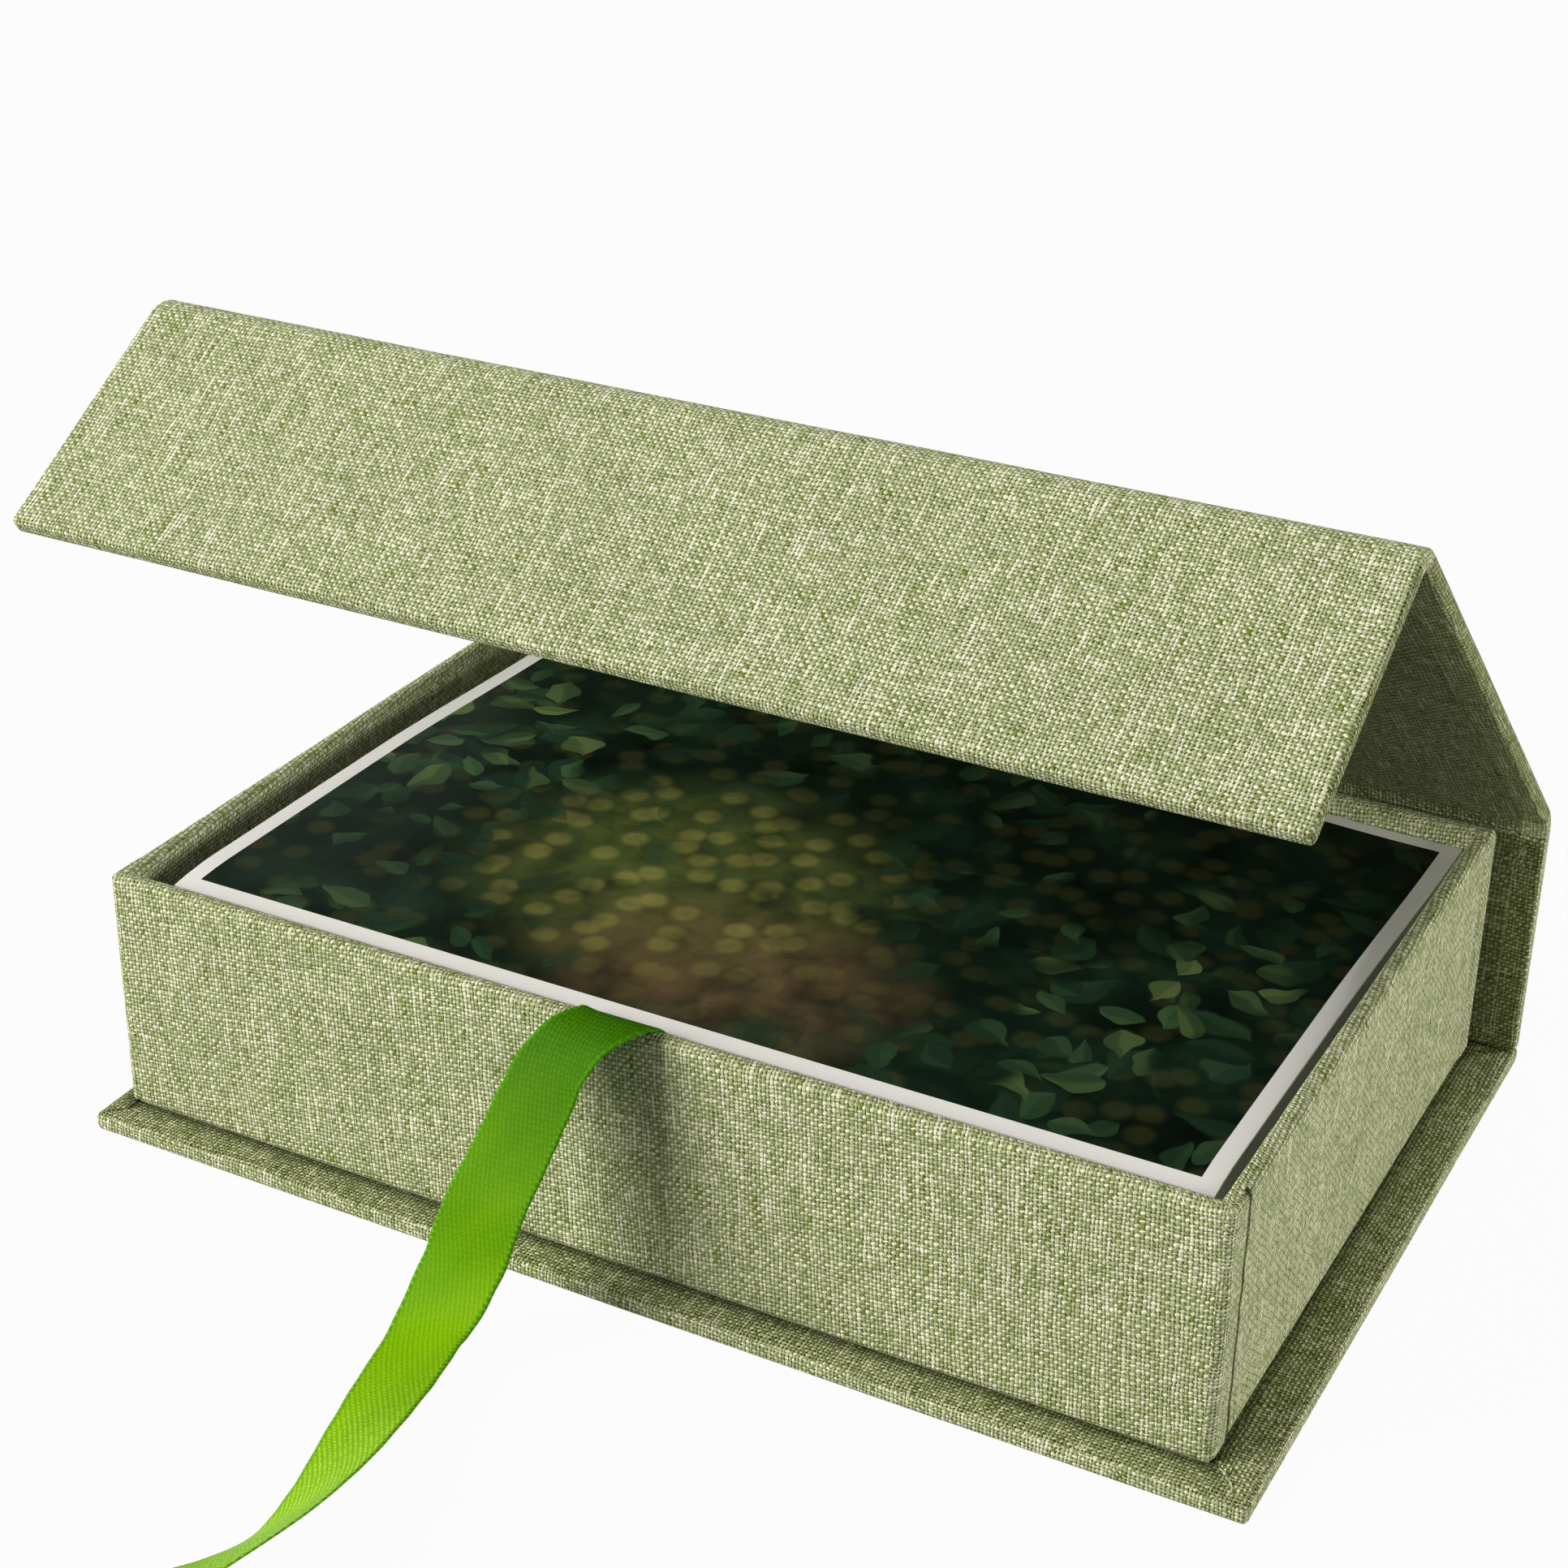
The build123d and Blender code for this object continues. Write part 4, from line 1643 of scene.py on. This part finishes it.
@dataclass
class Ribbon:
    """Satin ribbon from under the prints, over the front wall, to the table.

    Each station is the middle of the ribbon and the direction from its left
    edge to its right edge, in the tray's own frame: from its front left
    corner, to the right, to the back and up from the base.
    """

    sizes: BoxSizes
    width: float = 12.0
    thickness: float = 0.3
    edge_share: float = 0.55
    loop: float = 0.05
    loop_pitch: float = 1.15

    SHARES = (-1.0, -0.93, -0.85, -0.6, -0.3, 0.0, 0.3, 0.6, 0.85, 0.93, 1.0)
    STATIONS = (
        ((81.2, 70.0, 2.0), (1.0, 0.0, 0.0)),
        ((81.2, 38.0, 2.0), (1.0, 0.0, 0.0)),
        ((81.2, 6.0, 2.0), (1.0, 0.0, 0.0)),
        ((81.2, 3.5, 3.0), (1.0, 0.0, 0.0)),
        ((81.2, 3.4, 8.0), (1.0, 0.0, 0.0)),
        ((81.2, 3.4, 20.0), (1.0, 0.0, 0.0)),
        ((81.2, 3.4, 32.0), (1.0, 0.0, 0.0)),
        ((81.1, 3.1, 36.0), (1.0, 0.0, 0.0)),
        ((80.9, 1.4, 37.2), (0.99, -0.03, 0.05)),
        ((79.8, -0.9, 37.3), (0.98, -0.06, 0.14)),
        ((78.0, -3.5, 36.2), (0.96, -0.04, 0.26)),
        ((76.1, -6.2, 33.2), (0.93, -0.05, 0.36)),
        ((74.6, -8.8, 28.3), (0.93, -0.02, 0.36)),
        ((72.8, -11.9, 21.7), (0.93, 0.0, 0.35)),
        ((70.8, -15.2, 14.8), (0.94, 0.07, 0.33)),
        ((69.2, -18.7, 7.0), (0.94, 0.13, 0.31)),
        ((68.0, -24.5, 0.9), (0.94, 0.17, 0.29)),
        ((69.0, -32.9, -0.5), (0.93, 0.22, 0.29)),
        ((71.3, -43.4, 0.1), (0.88, 0.25, 0.4)),
        ((73.4, -54.0, 0.9), (0.81, 0.18, 0.55)),
        ((74.0, -64.0, 1.7), (0.75, 0.0, 0.65)),
        ((71.4, -72.9, 1.8), (0.77, -0.26, 0.57)),
        ((66.6, -80.4, 0.5), (0.76, -0.53, 0.34)),
        ((59.9, -87.0, -1.2), (0.67, -0.71, 0.14)),
        ((52.3, -92.5, -2.4), (0.55, -0.84, -0.02)),
    )

    def line(self) -> list[tuple[Vector, Vector, float]]:
        """Middle line, cross direction and length run, closely spaced.

        Returns:
            The stations, from the hidden end to the end on the table.
        """
        corner = Vector((self.sizes.left, self.sizes.front, self.sizes.skin))
        middles = [Vector(p) + corner for p, _ in self.STATIONS]
        crosses = [Vector(c).normalized() for _, c in self.STATIONS]
        out: list[tuple[Vector, Vector, float]] = []
        run, last = 0.0, middles[0]
        count = len(middles)
        for i in range(count - 1):
            ids = [max(0, i - 1), i, i + 1, min(count - 1, i + 2)]
            near = (middles[i + 1] - middles[i]).length
            parts = max(3, math.ceil(near / 1.0))
            for k in range(parts + (i == count - 2)):
                t = k / parts
                middle = self.through([middles[j] for j in ids], t)
                cross = self.through([crosses[j] for j in ids], t)
                run += (middle - last).length
                last = middle
                out.append((middle, cross.normalized(), run))
        return out

    def through(self, four: list[Vector], t: float) -> Vector:
        """Point between the middle two of four, on a centripetal curve.

        Args:
            four: Neighbouring points.
            t: Share of the way from the second to the third.

        Returns:
            The point.
        """
        a, b, c, d = four
        knots = [0.0]
        for first, second in ((a, b), (b, c), (c, d)):
            gap = max((second - first).length, 1e-4)
            knots.append(knots[-1] + math.sqrt(gap))
        k0, k1, k2, k3 = knots
        s = k1 + (k2 - k1) * t
        ab = a * ((k1 - s) / (k1 - k0)) + b * ((s - k0) / (k1 - k0))
        bc = b * ((k2 - s) / (k2 - k1)) + c * ((s - k1) / (k2 - k1))
        cd = c * ((k3 - s) / (k3 - k2)) + d * ((s - k2) / (k3 - k2))
        abc = ab * ((k2 - s) / (k2 - k0)) + bc * ((s - k0) / (k2 - k0))
        bcd = bc * ((k3 - s) / (k3 - k1)) + cd * ((s - k1) / (k3 - k1))
        return abc * ((k2 - s) / (k2 - k1)) + bcd * ((s - k1) / (k2 - k1))

    def build(self) -> list[bpy.types.Object]:
        line = self.line()
        draft = Draft()
        half, count, shares = self.width / 2, len(self.SHARES), self.SHARES
        rows, places = [], []
        for i, (middle, cross, run) in enumerate(line):
            ahead = line[min(i + 1, len(line) - 1)][0]
            behind = line[max(i - 1, 0)][0]
            along = (ahead - behind).normalized()
            cross = (cross - along * cross.dot(along)).normalized()
            out = cross.cross(along).normalized()
            loop = self.loop * math.sin(run * TURN / self.loop_pitch)
            face, back = [], []
            for share in shares:
                at_edge = abs(share) == 1.0
                thick = self.thickness / 2 * (self.edge_share if at_edge else 1.0)
                spot = middle + cross * share * (half + loop * at_edge)
                face.append(spot + out * thick)
                back.append(spot - out * thick)
            rows.append(face + back[::-1] + face[:1])
            strip = [(share * half, run) for share in shares]
            places.append(strip + strip[::-1] + strip[:1])
        draft.patch(rows, places)
        wide = len(rows[0])
        for row in (0, len(rows) - 1):
            for j in range(count - 1):
                ids = (j, j + 1, 2 * count - 2 - j, 2 * count - 1 - j)
                draft.faces.append(tuple(row * wide + k for k in ids))
                draft.places.append(tuple(places[row][k] for k in ids))
        piece = Satin().dress(draft.build("satin_ribbon"))
        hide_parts("ribbon")
        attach(piece, Body.BOX.value)
        length = line[-1][2]
        LOG.info("ribbon is %.1f mm long", length)
        self.width * MM
        length * MM
        return [piece]


@dataclass
class LooseThreads:
    """Frayed ends and stray threads at corners and cut edges."""

    sizes: BoxSizes
    radius: float = 0.045

    def thread(self, name: str, points: list[Vector], radius: float, body: Body) -> bpy.types.Object:
        """A single thread as a thin tube through these points.

        Args:
            name: The piece's name.
            points: Places it runs through, in mm.
            radius: Half its thickness.
            body: What it rides on.

        Returns:
            The piece.
        """
        draft = Draft()
        rows, places = [], []
        run = 0.0
        for i, p in enumerate(points):
            ahead = points[min(i + 1, len(points) - 1)]
            behind = points[max(i - 1, 0)]
            along = (ahead - behind).normalized()
            first = along.orthogonal().normalized()
            second = along.cross(first)
            run += (p - behind).length
            size = radius * (0.4 if i in (0, len(points) - 1) else 1.0)
            rows.append([p + (first * math.cos(a) + second * math.sin(a)) * size
                         for a in (TURN * k / 6 for k in range(7))])
            places.append([(k * 0.05, run) for k in range(7)])
        draft.patch(rows, places)
        piece = THREAD.dress(draft.build(name))
        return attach(piece, body.value)

    def tuft(self, name: str, root: Vector, way: Vector, count: int,
             length: float, seed: int, body: Body) -> bpy.types.Object:
        """A few short frayed ends from one place, as one piece.

        Args:
            name: The piece's name.
            root: Where they start.
            way: Their general direction.
            count: How many there are.
            length: About how long they are.
            seed: Start of their chance values.
            body: What they ride on.

        Returns:
            The piece.
        """
        chance = random.Random(seed)
        draft = Draft()
        for _ in range(count):
            start = root + Vector([chance.uniform(-0.5, 0.5) for _ in range(3)])
            course, aim = [start], way.normalized()
            for _ in range(5):
                aim = (aim + Vector([chance.uniform(-0.35, 0.35) for _ in range(3)])).normalized()
                course.append(course[-1] + aim * length / 5)
            rows, places = [], []
            for i, p in enumerate(course):
                size = self.radius * (1.0 - 0.7 * i / 5)
                rows.append([p + Vector((math.cos(a), 0.0, math.sin(a))) * size
                             for a in (TURN * k / 5 for k in range(6))])
                places.append([(k * 0.05, i * 0.3) for k in range(6)])
            draft.patch(rows, places)
        piece = THREAD.dress(draft.build(name, weld=False))
        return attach(piece, body.value)

    def build(self) -> list[bpy.types.Object]:
        """Make the threads that the photographed box shows."""
        s = self.sizes
        x, y, top = s.width / 2, -s.depth / 2, s.skin + 0.3
        course = ((5.6, 5.2, 0.0), (4.6, 4.6, 0.15), (3.4, 3.2, 0.1), (2.7, 1.9, 0.0))
        mitre = [Vector((x - left, y + back, top + up)) for left, back, up in course]
        corner = Vector((x - 2.6, y + 2.2, top))
        spine = Vector((x - 2.4, s.depth / 2 - 3.0, s.rim - 2.0))
        return [
            self.thread("mitre_thread", mitre, 0.16, Body.BOX),
            self.tuft("mitre_fray", corner, Vector((0.3, -1.0, 0.2)), 9, 1.3, 4, Body.BOX),
            self.tuft("spine_fray", spine, Vector((-0.3, -0.3, -1.0)), 6, 6.0, 8, Body.BOX),
        ]


# Frame nodes that stay, and the studio

@dataclass
class HiddenCore:
    """Boards, cards, discs and bundles of the frame that keep their shape."""

    nodes: dict[str, bpy.types.Object]

    def build(self) -> None:
        """Give each its finish."""
        finishes = {
            GreyBoard(): ("base_board", "spine_board", "lid_board",
                          "flap_board", "tray_front_wall", "tray_back_wall",
                          "tray_left_wall", "tray_right_wall", "tray_floor"),
            WhiteCard(): ("base_infill",),
            PlainSteel(): ("wall_plate_left", "wall_plate_right"),
            Nickel(): ("flap_magnet_left", "flap_magnet_right"),
            StackedPaper(): tuple(f"print_bundle_{i}" for i in range(1, 6)),
        }
        for finish, names in finishes.items():
            for name in names:
                finish.repaint(self.nodes[name])


@dataclass
class Studio:
    """Pale floor, soft light and the camera."""

    eye: tuple[float, float, float] = (0.16202, -0.32426, 0.23681)
    forward: tuple[float, float, float] = (-0.41213, 0.78866, -0.45625)
    up: tuple[float, float, float] = (-0.22493, 0.39719, 0.88975)
    lens: float = 67.43
    floor_half: float = 4.0

    def camera(self) -> None:
        """Put the camera where the photograph was taken from."""
        data = bpy.data.cameras.new("camera")
        data.lens, data.sensor_width = self.lens, 36.0
        data.sensor_fit = "HORIZONTAL"
        data.clip_start, data.clip_end = 0.01, 20.0
        made = linked("camera", data)
        back = -Vector(self.forward).normalized()
        right = Vector(self.up).cross(back).normalized()
        upward = back.cross(right)
        matrix = made.matrix_world.to_3x3()
        for i, axis in enumerate((right, upward, back)):
            matrix.col[i] = axis
        made.matrix_world = matrix.to_4x4()
        made.location = self.eye
        bpy.context.scene.camera = made

    def lamp(self, name: str, place: tuple[float, float, float],
             size: float, power: float, tint: Colour) -> None:
        """Add a square soft light aimed at the box.

        Args:
            name: Its name.
            place: Where it hangs, in metres.
            size: Its side.
            power: Its power in watts.
            tint: Its colour.
        """
        data = bpy.data.lights.new(name, "AREA")
        data.size, data.energy, data.color = size, power, tint[:3]
        made = linked(name, data)
        made.location = place
        aim = Vector((0.0, 0.0, 0.03)) - Vector(place)
        made.rotation_euler = aim.to_track_quat("-Z", "Y").to_euler()

    def backdrop(self, tree: bpy.types.NodeTree, lit: bpy.types.NodeSocket,
                 share: float) -> bpy.types.NodeSocket:
        """Shader that is white to the camera and in reflections.

        Args:
            tree: The tree to work on.
            lit: Shader for every other ray.
            share: How much of the white the camera sees, from 0 to 1.

        Returns:
            The mixed shader.
        """
        w = Wiring(tree)
        path = w.add("ShaderNodeLightPath").outputs
        seen = w.math("MAXIMUM", path["Is Camera Ray"], w.math(
            "MAXIMUM", path["Is Glossy Ray"], path["Is Transmission Ray"]))
        white = w.result("ShaderNodeEmission", Strength=1.0)
        mixed = w.add("ShaderNodeMixShader")
        for socket, value in zip(mixed.inputs, (seen * share, lit, white)):
            w.feed(socket, value)
        return mixed.outputs[0]

    def floor(self) -> None:
        """Pale floor that keeps a faint shadow."""
        mesh = bpy.data.meshes.new("floor")
        corners = ((-1, -1), (1, -1), (1, 1), (-1, 1))
        mesh.from_pydata([(x * self.floor_half, y * self.floor_half, -0.0001) for x, y in corners],
                         [], [(0, 1, 2, 3)])
        made = linked("floor", mesh)
        paint = bpy.data.materials.new("floor")
        paint.use_nodes = True
        tree = paint.node_tree
        shader = tree.nodes["Principled BSDF"]
        shader.inputs["Base Color"].default_value = (0.32, 0.32, 0.32, 1)
        shader.inputs["Roughness"].default_value = 0.9
        w = Wiring(tree)
        w.feed(tree.nodes["Material Output"].inputs["Surface"],
               self.backdrop(tree, shader.outputs[0], 0.96))
        mesh.materials.append(paint)

    def world(self) -> None:
        """Even pale surroundings, white to the camera."""
        scene = bpy.context.scene
        scene.world = bpy.data.worlds.new("surroundings")
        scene.world.use_nodes = True
        tree = scene.world.node_tree
        w = Wiring(tree)
        lit = tree.nodes["Background"]
        lit.inputs["Color"].default_value = (1.0, 1.0, 1.0, 1.0)
        lit.inputs["Strength"].default_value = 0.1
        w.feed(tree.nodes["World Output"].inputs["Surface"], self.backdrop(tree, lit.outputs[0], 1.0))

    def build(self) -> None:
        """Set camera, lamps, floor and surroundings."""
        self.camera()
        warm, cool = rgb("FFFBF2"), rgb("F8FAFF")
        self.lamp("key", (-1.65, -1.25, 0.92), 1.3, 73.0, warm)
        self.lamp("right", (1.17, 0.1, 0.27), 0.5, 8.6, warm)
        self.lamp("above", (-0.1, 0.4, 1.06), 0.5, 2.5, cool)
        self.floor()
        self.world()
        bpy.context.scene.view_settings.view_transform = "Standard"


def main() -> None:
    """Load the frame, build every sub-assembly and report the pieces."""
    logging.basicConfig(level=logging.INFO, format="%(message)s")
    # Without a seed the waver of the linen is another one in each run.
    noise.seed_set(WAVER_SEED)
    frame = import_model()
    sizes = BoxSizes()
    Studio().build()
    for assembly in (Cover(sizes), Base(sizes), Tray(sizes), Prints(sizes),
                     Ribbon(sizes), LooseThreads(sizes)):
        for piece in assembly.build():
            LOG.info("%s: %s, %d faces", type(assembly).__name__, piece.name, len(piece.data.polygons))
    HiddenCore(frame["nodes"]).build()


if __name__ == "__main__":
    main()
